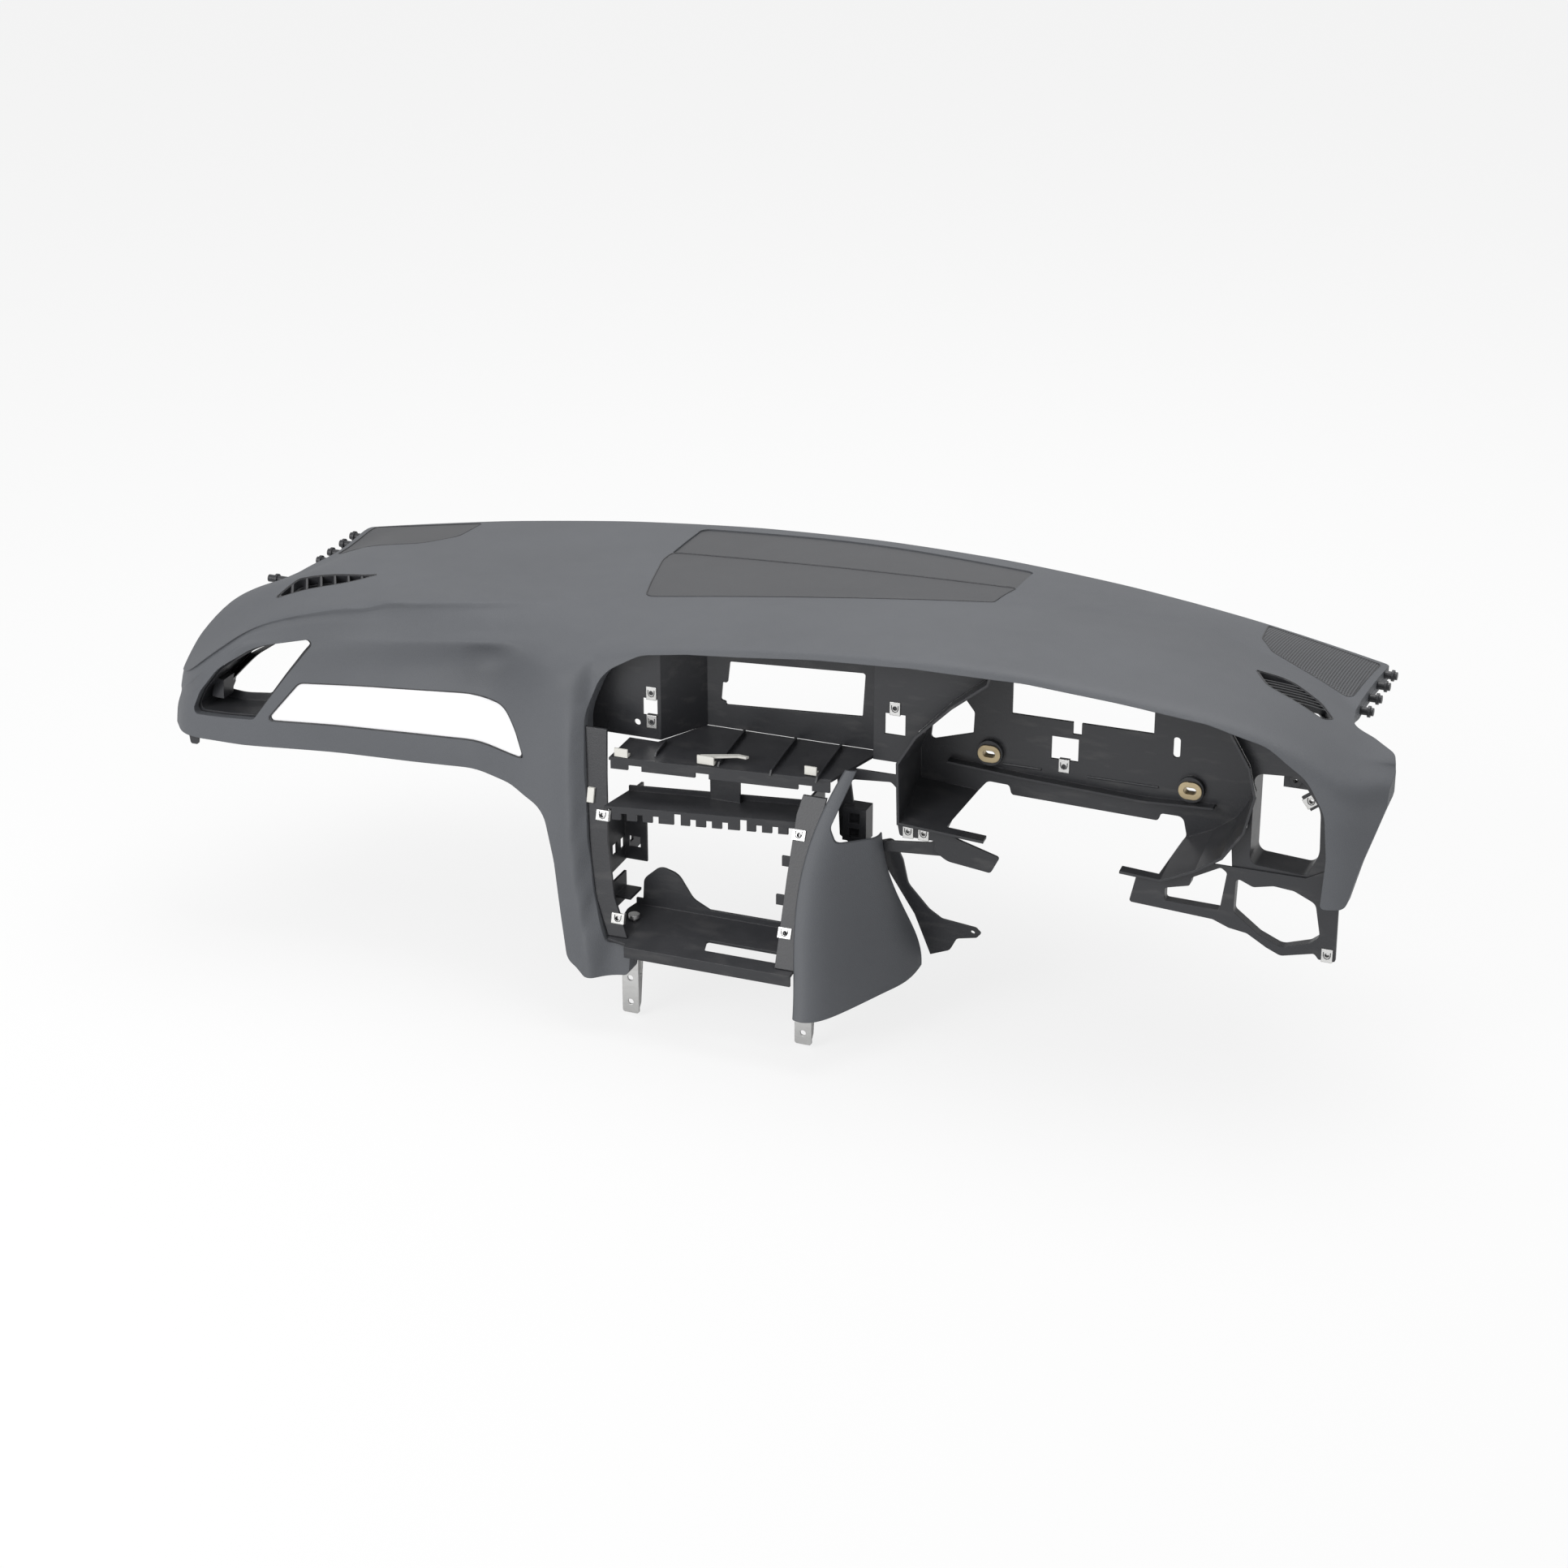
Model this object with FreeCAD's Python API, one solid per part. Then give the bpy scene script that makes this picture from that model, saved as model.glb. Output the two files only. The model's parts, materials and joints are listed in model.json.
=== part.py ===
import FreeCAD, Part
import math
import os

# Right-hand-drive dashboard assembly of a mid-size saloon, without its instruments.
# X runs along the car's width to the driver's side, Y runs forward to the windscreen
# and Z runs up. Places are given from the car's centre plane at the height of the top
# crease, and the finished pieces are moved so that their origin is the centre of the
# four fixing holes in the console legs. All lengths are millimetres.

# Overall size
screen_edge_mid = 487.0
screen_edge_bow = 95.0
screen_edge_high = -10.0
screen_edge_fall = 29.0
bow_reach = 620.0
left_reach = 729.0
right_reach = 716.0
left_top_reach = 642.0
right_top_reach = 649.0
fascia_foot = 185.0

# Walls and clearances
pad_wall = 9.0
pad_return = 5.0
return_depth = 18.0
carrier_wall = 3.0
housing_wall = 3.0
seat_gap = 0.3
trim_gap = 0.4
lid_wall = 3.0
duct_wall = 2.5
duct_depth = 52.0

# Centre stack
stack_lean = 0.28
stack_top_y = 14.0
driver_lean = 0.46
driver_edge_y = 15.0
driver_edge_z = -120.0
shelf_wall = 3.0
bracket_wall = 3.0

# Leg brackets
leg_wall = 2.5
leg_width = 20.0
leg_hole = 3.5
leg_hole_pitch = 30.0
leg_hole_rise = 14.0
leg_face_y = -44.0
leg_foot = -419.0
left_leg_x = -105.0
right_leg_x = 105.0
leg_bolt_back = 14.0

# Spring nuts
nut_wide = 12.0
nut_long = 14.5
nut_sheet = 1.0
nut_hole = 2.6
nut_barrel = 4.6
nut_rise = 2.5

# Feature lines of the skin, each a short list of (station along X, value)
CREASE_Y = [(-760, 96), (-727, 58), (-700, 30), (-670, 15), (-640, 12), (-590, 23),
            (-536, 29), (-490, 41), (-427, 63), (-360, 88), (-253, 131), (-76, 190),
            (101, 246), (214, 280), (300, 298), (370, 308), (440, 306), (521, 282),
            (595, 250), (660, 200), (700, 165), (760, 150)]
CREASE_Z = [(-760, 0), (-500, 0), (-253, 2), (14, 8), (214, 8), (352, 4), (440, 0),
            (521, -10), (595, -22), (643, -32), (760, -45)]
NOSE_Y = [(-760, 70), (-700, 22), (-640, 6), (-590, 14), (-430, 34), (-360, 46),
          (-300, 50), (-253, 48), (-170, 38), (-100, 33), (89, 32), (229, 34),
          (409, 38), (530, 44), (629, 52), (680, 62), (760, 120)]
NOSE_Z = [(-760, -60), (-640, -70), (-590, -62), (-430, -44), (-360, -38), (-253, -26),
          (-170, -12), (-103, 0), (-6, 12), (89, 21), (159, 27), (229, 31), (320, 31),
          (409, 25), (497, 18), (576, 8), (629, -6), (680, -30), (760, -60)]
BOLSTER_EDGE_X = [(-400, -112), (-322, -124), (-272, -142), (-213, -156), (-140, -166),
                  (-80, -173), (0, -174)]


def smooth(value, low, high):
    t = min(1.0, max(0.0, (value - low) / (high - low)))
    return t * t * (3.0 - 2.0 * t)


def curve(x, stations):
    """A smooth line through a few stations."""
    if x <= stations[0][0]:
        return stations[0][1]
    if x >= stations[-1][0]:
        return stations[-1][1]
    last = len(stations) - 1
    k = max(i for i in range(last) if stations[i][0] <= x)

    def slope(i):
        if i in (0, last):
            return 0.0
        rise = stations[i + 1][1] - stations[i - 1][1]
        return rise / (stations[i + 1][0] - stations[i - 1][0])

    span = stations[k + 1][0] - stations[k][0]
    t = (x - stations[k][0]) / span
    start = stations[k][1] * (2 * t ** 3 - 3 * t * t + 1)
    end = stations[k + 1][1] * (3 * t * t - 2 * t ** 3)
    leave = slope(k) * span * (t ** 3 - 2 * t * t + t)
    arrive = slope(k + 1) * span * (t ** 3 - t * t)
    return start + end + leave + arrive


def lower_of(a, b, blend=5.0):
    """The lower of two heights with a rounded change between them."""
    h = max(2 * blend - abs(a - b), 0.0) / (2 * blend)
    return min(a, b) - h * h * blend * 0.5


def screen_y(x):
    return screen_edge_mid - screen_edge_bow * (x / bow_reach) ** 2


def screen_z(x):
    return screen_edge_high - screen_edge_fall * (x / bow_reach) ** 2


def shoulder(x, y):
    """Height of the rounded shoulder at either end of the dashboard."""
    start = 420.0
    base = -190.0
    top = -5.0 if x < 0 else 25.0
    reach = left_reach - 439.0 if x < 0 else right_reach - 396.0
    rise = top - base
    steepest = 0.965
    u = (abs(x) - 0.65 * y - start) / reach
    if u < 0:
        return top + 50.0
    if u > steepest:
        edge = math.sqrt(1 - steepest ** 2)
        return base + rise * edge - rise * steepest / edge * (u - steepest)
    return base + rise * math.sqrt(1 - u * u)


def stack_y(z):
    return stack_top_y + stack_lean * z


def bolster_x(z):
    return curve(z, BOLSTER_EDGE_X)


def face_y(x, z):
    """Depth of the front face: fascia, bolster beside the stack, and wrapped ends."""
    foot = 12.0 * smooth(x, -640, -480) * (1 - smooth(x, -340, -250))
    crease_y = curve(x, CREASE_Y)
    crease_z = min(curve(x, CREASE_Z), shoulder(x, crease_y))
    share = min(1.0, max(0.0, (z + fascia_foot) / (crease_z + fascia_foot)))
    y = foot + (min(crease_y, 131.0) - foot) * share ** 1.7
    to_stack = smooth(x, -330, -200)
    y = y * (1 - to_stack) + stack_y(z) * to_stack
    ridge_x = bolster_x(z) - 15.0
    y -= 9.0 * smooth(-z, 20, 130) * math.exp(-((x - ridge_x) / 16.0) ** 2)
    if x > ridge_x:
        y += 8.0 * min(1.0, (x - ridge_x) / 15.0) ** 2
    to_driver = smooth(x, 60, 200)
    y = y * (1 - to_driver) + 18.0 * to_driver
    wrap_start = left_reach - 52.0 if x < 0 else right_reach - 58.0
    wrap = max(0.0, abs(x) - wrap_start)
    return y + 25.0 * (wrap / 45.0) ** 2


def end_dip(x, y):
    """How far the skin sinks along the passenger's end, where the pegs stand proud of it."""
    return 16.0 * smooth(y, 110, 170) * (1 - smooth(y, 240, 385)) * smooth(-x, 570, 640)


def section(x):
    """One profile of the skin, from past the windscreen edge down to the foot."""
    edge_y = screen_y(x)
    edge_z = screen_z(x)
    crease_y = curve(x, CREASE_Y)
    crease_z = curve(x, CREASE_Z)
    nose_y = curve(x, NOSE_Y)
    nose_z = curve(x, NOSE_Z)
    points = []
    for i in range(-1, 7):
        s = i / 7.0
        y = edge_y + (crease_y - edge_y) * s
        z = edge_z + (crease_z - edge_z) * s + 16.0 * s * (1 - s)
        points.append((y, lower_of(z, shoulder(x, y)) - end_dip(x, y)))
    crease_z = lower_of(crease_z, shoulder(x, crease_y))
    drop = 18.0 * smooth(-x, 560, 640)
    if drop > 0:
        nose_z = min(nose_z, lower_of(crease_z, shoulder(x, nose_y)) - drop)
    nose_z = lower_of(nose_z, shoulder(x, nose_y))
    bulge = 3.0 + 3.0 * smooth(x, -150, 100)
    for i in range(5):
        s = i / 5.0
        y = crease_y + (nose_y - crease_y) * s
        z = crease_z + (nose_z - crease_z) * s + bulge * 4 * s * (1 - s)
        points.append((y, z))
    points.append((nose_y, nose_z))
    hood = smooth(x, -220, -80)
    curl = 22.0 - 8.0 * hood
    lip_z = nose_z - curl
    lip_y = face_y(x, lip_z)
    points.append((nose_y + (lip_y - nose_y) * 0.72, nose_z - curl * (0.5 - 0.15 * hood)))
    rows = 11
    for i in range(rows + 1):
        z = lip_z + (-440.0 - lip_z) * (i / rows) ** 1.1
        points.append((face_y(x, z), z))
    return [FreeCAD.Vector(x, y, z) for y, z in points]


def vec(x, y, z):
    return FreeCAD.Vector(x, y, z)


def stations():
    """Places of the profiles: close together where the bolster turns."""
    places = []
    x = -left_reach - 30.0
    while x < right_reach + 40.0:
        places.append(x)
        x += 10.0 if -240 < x < -130 else 24.0
    return places


def skin_face():
    surface = Part.BSplineSurface()
    surface.interpolate([section(x) for x in stations()])
    return surface.toShape()


SKIN = skin_face()


def layer(start, end):
    """The solid between two depths below the skin."""
    face = SKIN.copy()
    face.translate(vec(0, start, -start))
    return face.extrude(vec(0, end - start, start - end))


def rounded_wire(corners, place):
    """A closed wire through corners (a, b, radius), with an arc at each radius."""
    count = len(corners)
    edges = []
    ends = []
    for i in range(count):
        before = corners[i - 1]
        here = corners[i]
        after = corners[(i + 1) % count]
        p = vec(here[0], here[1], 0)
        to_before = vec(before[0], before[1], 0) - p
        to_after = vec(after[0], after[1], 0) - p
        radius = here[2] if len(here) > 2 else 0.0
        turn = to_before.getAngle(to_after)
        if radius <= 0 or turn > math.pi - 0.02:
            ends.append((p, p, p))
            continue
        reach = min(radius / math.tan(turn / 2), 0.48 * min(to_before.Length, to_after.Length))
        radius = reach * math.tan(turn / 2)
        first = p + to_before.normalize() * reach
        last = p + to_after.normalize() * reach
        inward = (first + last) * 0.5 - p
        middle = p + inward.normalize() * (radius / math.sin(turn / 2) - radius)
        ends.append((first, middle, last))
    for i in range(count):
        first, middle, last = ends[i]
        after = ends[(i + 1) % count][0]
        if first.distanceToPoint(last) > 1e-6:
            edges.append(Part.Arc(place(first), place(middle), place(last)).toShape())
        if last.distanceToPoint(after) > 1e-6:
            edges.append(Part.makeLine(place(last), place(after)))
    return Part.Wire(edges)


def grown(corners, distance):
    """The same outline with every side moved outward; inward when negative."""
    count = len(corners)
    area = sum(corners[i - 1][0] * corners[i][1] - corners[i][0] * corners[i - 1][1]
               for i in range(count))
    side = distance if area > 0 else -distance
    moved = []
    for i in range(count):
        here = corners[i]
        lines = []
        for a, b in ((corners[i - 1], here), (here, corners[(i + 1) % count])):
            length = math.hypot(b[0] - a[0], b[1] - a[1])
            lines.append(((b[1] - a[1]) / length, (a[0] - b[0]) / length))
        (ax, ay), (bx, by) = lines
        share = side / (1 + ax * bx + ay * by)
        radius = here[2] if len(here) > 2 else 0.0
        moved.append((here[0] + (ax + bx) * share, here[1] + (ay + by) * share, radius))
    return moved


def prism_y(corners, start, end):
    wire = rounded_wire(corners, lambda p: vec(p.x, start, p.y))
    return Part.Face(wire).extrude(vec(0, end - start, 0))


def prism_z(corners, start, end):
    wire = rounded_wire(corners, lambda p: vec(p.x, p.y, start))
    return Part.Face(wire).extrude(vec(0, 0, end - start))


def prism_x(corners, start, end):
    wire = rounded_wire(corners, lambda p: vec(start, p.x, p.y))
    return Part.Face(wire).extrude(vec(end - start, 0, 0))


def box(x0, x1, y0, y1, z0, z1):
    return Part.makeBox(x1 - x0, y1 - y0, z1 - z0, vec(x0, y0, z0))


def sloped_plate(corners, depth, thickness):
    """A flat plate seen from the front, with depth(x, z) as its front plane."""
    wire = rounded_wire(corners, lambda p: vec(p.x, depth(p.x, p.y), p.y))
    return Part.Face(wire).extrude(vec(0, thickness, 0))


def joined(shapes):
    return shapes[0].fuse(shapes[1:])


def edge_at(corners, level, pick):
    """Where the far or near side of an outline (a, b) lies at b = level."""
    hits = []
    for i in range(len(corners)):
        a = corners[i - 1]
        b = corners[i]
        if min(a[1], b[1]) <= level < max(a[1], b[1]):
            hits.append(a[0] + (b[0] - a[0]) * (level - a[1]) / (b[1] - a[1]))
    return pick(hits)


def save(shape, name):
    """Write one piece, measured from the centre of the four holes in the console legs."""
    os.makedirs("parts", exist_ok=True)
    datum = vec((left_leg_x + right_leg_x) / 2, leg_face_y, leg_foot + leg_hole_rise + leg_hole_pitch / 2)
    shape.translated(datum * -1).exportStep("parts/" + name + ".step")


# Outline of the whole dashboard seen from above
LEFT_END = [(-left_reach, -200), (-left_reach, 55, 30), (-left_reach + 11, 82, 25),
            (-left_reach + 39, 112, 25), (-left_top_reach - 8, 152, 25),
            (-left_top_reach + 2, 190, 20), (-left_top_reach + 8, 240, 40),
            (-left_top_reach, screen_y(left_top_reach), 10)]
RIGHT_END = [(right_top_reach, screen_y(right_top_reach), 10),
             (right_top_reach - 3, 215, 40), (right_top_reach + 8, 152, 30),
             (right_reach - 34, 142, 20), (right_reach - 7, 120, 20),
             (right_reach, 95, 20), (right_reach, -200)]


def windscreen_edge():
    spans = 8
    step = (left_top_reach + right_top_reach) / spans
    places = [-left_top_reach + step * i for i in range(1, spans)]
    return [(x, screen_y(x), 600) for x in places]


PLAN = LEFT_END + windscreen_edge() + RIGHT_END

# Lower edge of the fascia, the bolster's foot, the open front and the driver's end,
# seen from the front. Everything inside this outline is open.
FRONT = [(-800, -fascia_foot), (-618, -fascia_foot, 100), (-400, -177, 100), (-262, -170, 60),
         (-212, -186, 35), (-192, -240, 60), (-178, -296, 60), (-165, -345, 18),
         (-140, -357, 8), (-92, -354, 6), (-92, -322, 4), (-122, -321, 8), (-141, -272, 80),
         (-155, -213, 80), (-166, -140, 80), (-174, -78, 60), (-158, -32, 45), (-115, -8, 60),
         (-60, 0, 80), (0, 5, 80), (90, 14, 100), (200, 22, 100), (330, 23, 100),
         (430, 16, 100), (530, 6, 100), (595, -9, 60), (640, -38, 40), (659, -75, 50),
         (664, -125, 60), (661, -182, 5), (686, -182, 8), (697, -135, 50), (709, -95, 50),
         (720, -58, 40), (745, -30), (800, -30), (800, -500), (-800, -500)]

# Openings in the skin, seen from the front
PASSENGER_VENT = [(-688, -156, 6), (-676, -128, 30), (-650, -96, 60), (-600, -63, 80),
                  (-523, -46, 5), (-560, -92, 80), (-604, -152, 8)]
DECOR_STRIP = [(-588, -151, 5), (-546, -101, 14), (-455, -96, 200), (-345, -92, 200),
               (-284, -95, 60), (-262, -114, 50), (-244, -139, 5), (-400, -144, 300)]
DRIVER_VENT = [(578, -50, 10), (625, -47, 25), (650, -80, 30), (652, -131, 30),
               (640, -158, 10), (578, -154, 10)]

# Openings in the skin, seen from above
cover_left = -172.0
cover_right = 209.0
cover_to_crease = 8.0
slot_left_y = 334.0
slot_right_y = 348.0
trough_depth = 104.0


def slot_y(x):
    return slot_left_y + (slot_right_y - slot_left_y) * (x - cover_left) / (cover_right - cover_left)


def cover_corners():
    steps = 5
    span = cover_right - cover_left
    front = [cover_left + span * i / steps for i in range(steps + 1)]
    edge = [(x, curve(x, CREASE_Y) + cover_to_crease, 40) for x in front]
    edge[0] = (edge[0][0], edge[0][1], 12)
    edge[-1] = (edge[-1][0], edge[-1][1], 6)
    left = cover_left - 38.0
    return edge + [(cover_right + 8, slot_y(cover_right), 4), (left, slot_y(left), 10),
                   (left + 2, 300, 60), (cover_left - 14, 215, 40)]


COVER = cover_corners()
TROUGH = [(cover_left - 38, slot_y(cover_left - 38) + 0.5, 4),
          (cover_right + 8, slot_y(cover_right) + 0.5, 4),
          (cover_right + 2, slot_right_y + trough_depth - 14, 12),
          (0, screen_y(0) - 20, 800),
          (cover_left - 48, slot_left_y + trough_depth + 14, 12)]
SPEAKER_LEFT = [(-628, 262, 8), (-575, 267, 50), (-525, 292, 40), (-497, 335, 40),
                (-503, screen_y(503) - 11, 6), (-634, screen_y(634) - 11, 8)]
SPEAKER_RIGHT = [(636, 238, 8), (532, 300, 22), (511, 338, 22),
                 (500, screen_y(500) - 11, 6), (640, screen_y(640) - 11, 8)]
SIDE_GRILLE_LEFT = [(-610, 76, 6), (-535, 104, 60), (-506, 146, 3), (-603, 126, 8)]
SIDE_GRILLE_RIGHT = [(535, 208, 3), (558, 164, 40), (629, 126, 8), (637, 142, 8),
                     (617, 175, 60), (572, 214, 30)]

# Depths below the skin
carrier_top = pad_wall + seat_gap
carrier_under = carrier_top + carrier_wall
behind_carrier = carrier_under + seat_gap
high = 120.0
low = -500.0
open_back = 95.0


def above(corners, inset=0.0):
    return prism_z(grown(corners, -inset), -150.0, high)


def before(corners, inset=0.0):
    return prism_y(grown(corners, -inset), -300.0, open_back)


# The room that the pad and its edge frame take up
PAD_ROOM = layer(-60.0, return_depth + seat_gap).cut(before(FRONT, seat_gap))


def region(inset=0.0):
    """Everything within the dashboard's outlines and outside its front opening."""
    return prism_z(grown(PLAN, -inset), low, high).cut(before(FRONT, -inset))


def dash_pad():
    lids = [COVER, TROUGH, SPEAKER_LEFT, SPEAKER_RIGHT, SIDE_GRILLE_LEFT, SIDE_GRILLE_RIGHT]
    sheet = layer(0.0, pad_wall).common(region())
    return sheet.cut([above(corners) for corners in lids] + [before(DECOR_STRIP), before(PASSENGER_VENT)])


def edge_frame():
    """The stiff rim under the pad's edges and round the front opening."""
    ring = region().cut(region(pad_return))
    return biggest(layer(carrier_top, return_depth).common(ring))


def pad_carrier():
    holes = [above(SIDE_GRILLE_LEFT, 6.0), above(SIDE_GRILLE_RIGHT, 6.0), above(TROUGH, 20.0),
             before(PASSENGER_VENT)]
    sheet = layer(carrier_top, carrier_under).common(region(pad_return + seat_gap))
    return sheet.cut(holes)


def carrier_ribs():
    """A grid of stiffening ribs under the carrier's passenger half."""
    inset = pad_return + 20.0
    front = 160.0
    rear = 312.0
    bars = [box(x, x + 2.5, front - 20, rear, -150, high) for x in (-600, -490, -240, -122)]
    bars.append(box(-600, -120, front, front + 2.5, -150, high))
    bars.append(box(-600, -120, rear - 2.5, rear, -150, high))
    grid = joined(bars).common(prism_z(grown(PLAN, -inset), low, high))
    return layer(behind_carrier, behind_carrier + 8.0).common(grid)


def lid(corners, sink=0.0):
    """A shallow cap that fills an opening in the pad and stands on the carrier."""
    body = layer(sink, pad_wall).common(above(corners, trim_gap))
    hollow = layer(sink + lid_wall, pad_wall + 9.0).common(above(corners, trim_gap + lid_wall))
    return body.cut(hollow)


def side_grille(corners, slats, turn, start, step):
    """A window-defroster outlet: a rim with slanted slats."""
    inside = above(corners, trim_gap + 2.0)
    rim = above(corners, trim_gap).cut(inside)
    blades = []
    for i in range(slats):
        blade = box(-60, 60, -1.1, 1.1, -60, 60)
        blade.rotate(vec(0, 0, 0), vec(1, 0, 0), 20)
        blade.rotate(vec(0, 0, 0), vec(0, 0, 1), turn)
        blade.translate(vec(start[0] + step[0] * i, start[1] + step[1] * i, -20))
        blades.append(blade.common(inside))
    return layer(0.6, pad_wall).common(joined([rim] + blades))


def slot_grille():
    """The sunk strip at the windscreen foot with its long demister slot."""
    body = lid(TROUGH, 2.0)
    slots = []
    for left, right in ((cover_left - 30, -20), (-14, 29), (35, cover_right)):
        corners = [(left, slot_y(left) + 5), (right, slot_y(right) + 5),
                   (right, slot_y(right) + 10), (left, slot_y(left) + 10)]
        slots.append(above(corners))
    return body.cut(slots)


def decor_strip():
    body = layer(1.0, pad_wall).common(before(DECOR_STRIP, trim_gap))
    hollow = layer(1.0 + 2.5, pad_wall + 9.0).common(before(DECOR_STRIP, trim_gap + 2.5))
    return body.cut(hollow)


def vent_frame_left():
    """The duct mouth left in the passenger's vent opening, with a ledge and a catch."""
    mouth = before(PASSENGER_VENT, seat_gap)
    tube = mouth.cut(before(PASSENGER_VENT, seat_gap + 2.5))
    ledge = mouth.cut(before(PASSENGER_VENT, 12.0))
    catch = box(-672, -655, -300, open_back, -141, -118).common(mouth)
    return joined([layer(pad_wall, 62.0).common(tube), layer(48.0, 50.5).common(ledge),
                   layer(20.0, 40.0).common(catch)])


def airbag_chute():
    """The frame that guides the passenger airbag to the underside of the pad."""
    corners = [(-470, 195, 12), (-262, 195, 12), (-262, 305, 12), (-470, 305, 12)]
    wall = layer(behind_carrier, 80.0).common(above(corners))
    wall = wall.cut(above(corners, 3.0))
    foot = layer(76.0, 80.0).common(above(corners, -14.0)).cut(above(corners, 3.0))
    return joined([wall, foot])


def defroster_duct():
    """The channel under the slot grille, closed by the carrier, that feeds the windscreen."""
    places = [-560, -370, -180, 0, 180, 370, 560]
    near = [(x, screen_y(x) - 85, 200) for x in places]
    far = [(x, screen_y(x) - 28, 200) for x in reversed(places)]
    for row in (near, far):
        row[0] = row[0][:2] + (14,)
        row[-1] = row[-1][:2] + (14,)
    corners = near + far
    body = layer(behind_carrier, duct_depth).common(above(corners))
    hollow = layer(behind_carrier - 5.0, duct_depth - duct_wall).common(above(corners, duct_wall))
    mouth = box(-60, 60, screen_edge_mid - 78, screen_edge_mid - 36, -150, high)
    inlet = layer(duct_depth - 8.0, duct_depth + 8.0).common(mouth)
    return body.cut([hollow, inlet])


def vertical_plate(corners, y, thickness=housing_wall):
    return prism_y(corners, y, y + thickness)


# Instrument bucket: its open mouth towards the driver and its back wall
bucket_mouth_y = 30.0
bucket_back_y = 126.0
BUCKET_MOUTH = [(186, -168), (184, -95), (205, -60), (245, -20), (285, 12), (300, 60),
                (530, 60), (552, 0), (576, -40), (584, -72), (574, -115), (552, -148),
                (524, -168), (486, -186)]
BUCKET_BACK = [(178, -150), (178, -112), (188, -82), (222, -38), (262, 0), (275, 60),
               (515, 60), (530, -20), (548, -48), (560, -80), (562, -112), (546, -140),
               (520, -160), (482, -178)]
COLUMN_OPENING = [(240, -166), (260, -141, 8), (285, -142, 4), (288, -153, 4),
                  (456, -157, 4), (459, -148, 4), (484, -148, 8), (489, -170, 8),
                  (470, -198, 10), (440, -210), (440, -400), (275, -400), (265, -205),
                  (251, -198)]
nut_row_z = -102.5


def ring_loft(mouth, back, grow):
    """The space between two outlines at the bucket's mouth and back."""
    wires = []
    for corners, y in ((mouth, bucket_mouth_y), (back, bucket_back_y)):
        points = [vec(c[0], y, c[1]) for c in grown(corners, grow)]
        wires.append(Part.makePolygon(points + points[:1]))
    return Part.makeLoft(wires, True, True)


def bucket_room():
    """The room that the instrument bucket takes up, with its clearance."""
    shape = ring_loft(BUCKET_MOUTH, BUCKET_BACK, seat_gap)
    shape = shape.fuse(shape.translated(vec(0, -seat_gap, 0)))
    return shape.fuse(shape.translated(vec(0, 2 * seat_gap, 0)))


BUCKET_ROOM = bucket_room()


def cluster_housing():
    outer = ring_loft(BUCKET_MOUTH, BUCKET_BACK, 0.0)
    inner = ring_loft(BUCKET_MOUTH, BUCKET_BACK, -housing_wall)
    inner = inner.common(box(100, 700, 0, bucket_back_y - housing_wall, -400, 200))
    inner = inner.fuse(inner.translated(vec(0, -1, 0)))
    face_y_back = bucket_back_y - housing_wall
    bosses = []
    for x, z in grommet_places():
        bosses.append(Part.makeCylinder(15, 7, vec(x, face_y_back - 6, z), vec(0, 1, 0)))
    ledge = [(215, -122, 6), (300, -128, 20), (440, -134, 20), (520, -130, 6), (520, -127, 6),
             (440, -131, 20), (300, -125, 20), (215, -119, 6)]
    body = joined([outer.cut(inner), vertical_plate(ledge, face_y_back - 12, 13)] + bosses)
    cuts = []
    cuts.append(prism_y([(228, -42, 6), (243, -61, 6), (242, -86, 3), (192, -101, 4), (194, -82, 10)],
                        bucket_mouth_y + 40, bucket_back_y + 9))
    cuts.append(box(286, 447, bucket_mouth_y + 40, bucket_back_y + 9, -56, 2))
    cuts.append(box(356, 366, bucket_mouth_y + 40, bucket_back_y + 9, -70, -50))
    cuts.append(box(332, 363, face_y_back - 14, bucket_back_y + 9, nut_row_z, nut_row_z + 27))
    cuts.append(prism_y(stadium(473, -68, 8, 4, True), face_y_back - 9, bucket_back_y + 9))
    cuts.append(prism_y(COLUMN_OPENING, bucket_mouth_y + 12, bucket_back_y + 9))
    cuts.append(box(286, 440, bucket_mouth_y - 9, bucket_back_y + 9, -400, -158))
    for x, z in grommet_places():
        cuts.append(prism_y(stadium(x, z, 3, 7, False), face_y_back - 9, bucket_back_y + 9))
    return body.cut(cuts + [PAD_ROOM])


def stadium(x, z, half, radius, upright):
    """Corners of a slot with round ends."""
    across = radius if upright else half + radius
    along = half + radius if upright else radius
    return [(x - across, z - along, radius * 0.96), (x + across, z - along, radius * 0.96),
            (x + across, z + along, radius * 0.96), (x - across, z + along, radius * 0.96)]


def grommet_places():
    return [(263.0, -105.0), (492.0, -113.0)]


def cluster_grommets():
    rings = []
    y = bucket_back_y - housing_wall - 6
    for x, z in grommet_places():
        flange = prism_y(stadium(x, z, 3, 10, False), y - 2.0 - seat_gap, y - seat_gap)
        neck = prism_y(stadium(x, z, 3, 7 - seat_gap, False), y - seat_gap, y + 9)
        bore = prism_y(stadium(x, z, 3, 4, False), y - 10, y + 20)
        rings.append(flange.fuse(neck).removeSplitter().cut(bore))
    return Part.makeCompound(rings)


# Display recess in the middle of the hood
display_back_y = 88.0
display_side_y = 40.0
panel_y = 60.0
display_foot = -107.0
recess_foot = -118.0
recess_left_x = -184.0
side_nut_x = -110.0
panel_nut_x = 172.0
panel_slot_top = -50.0
side_slot_top = -66.0
side_slot_foot = -87.0


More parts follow.
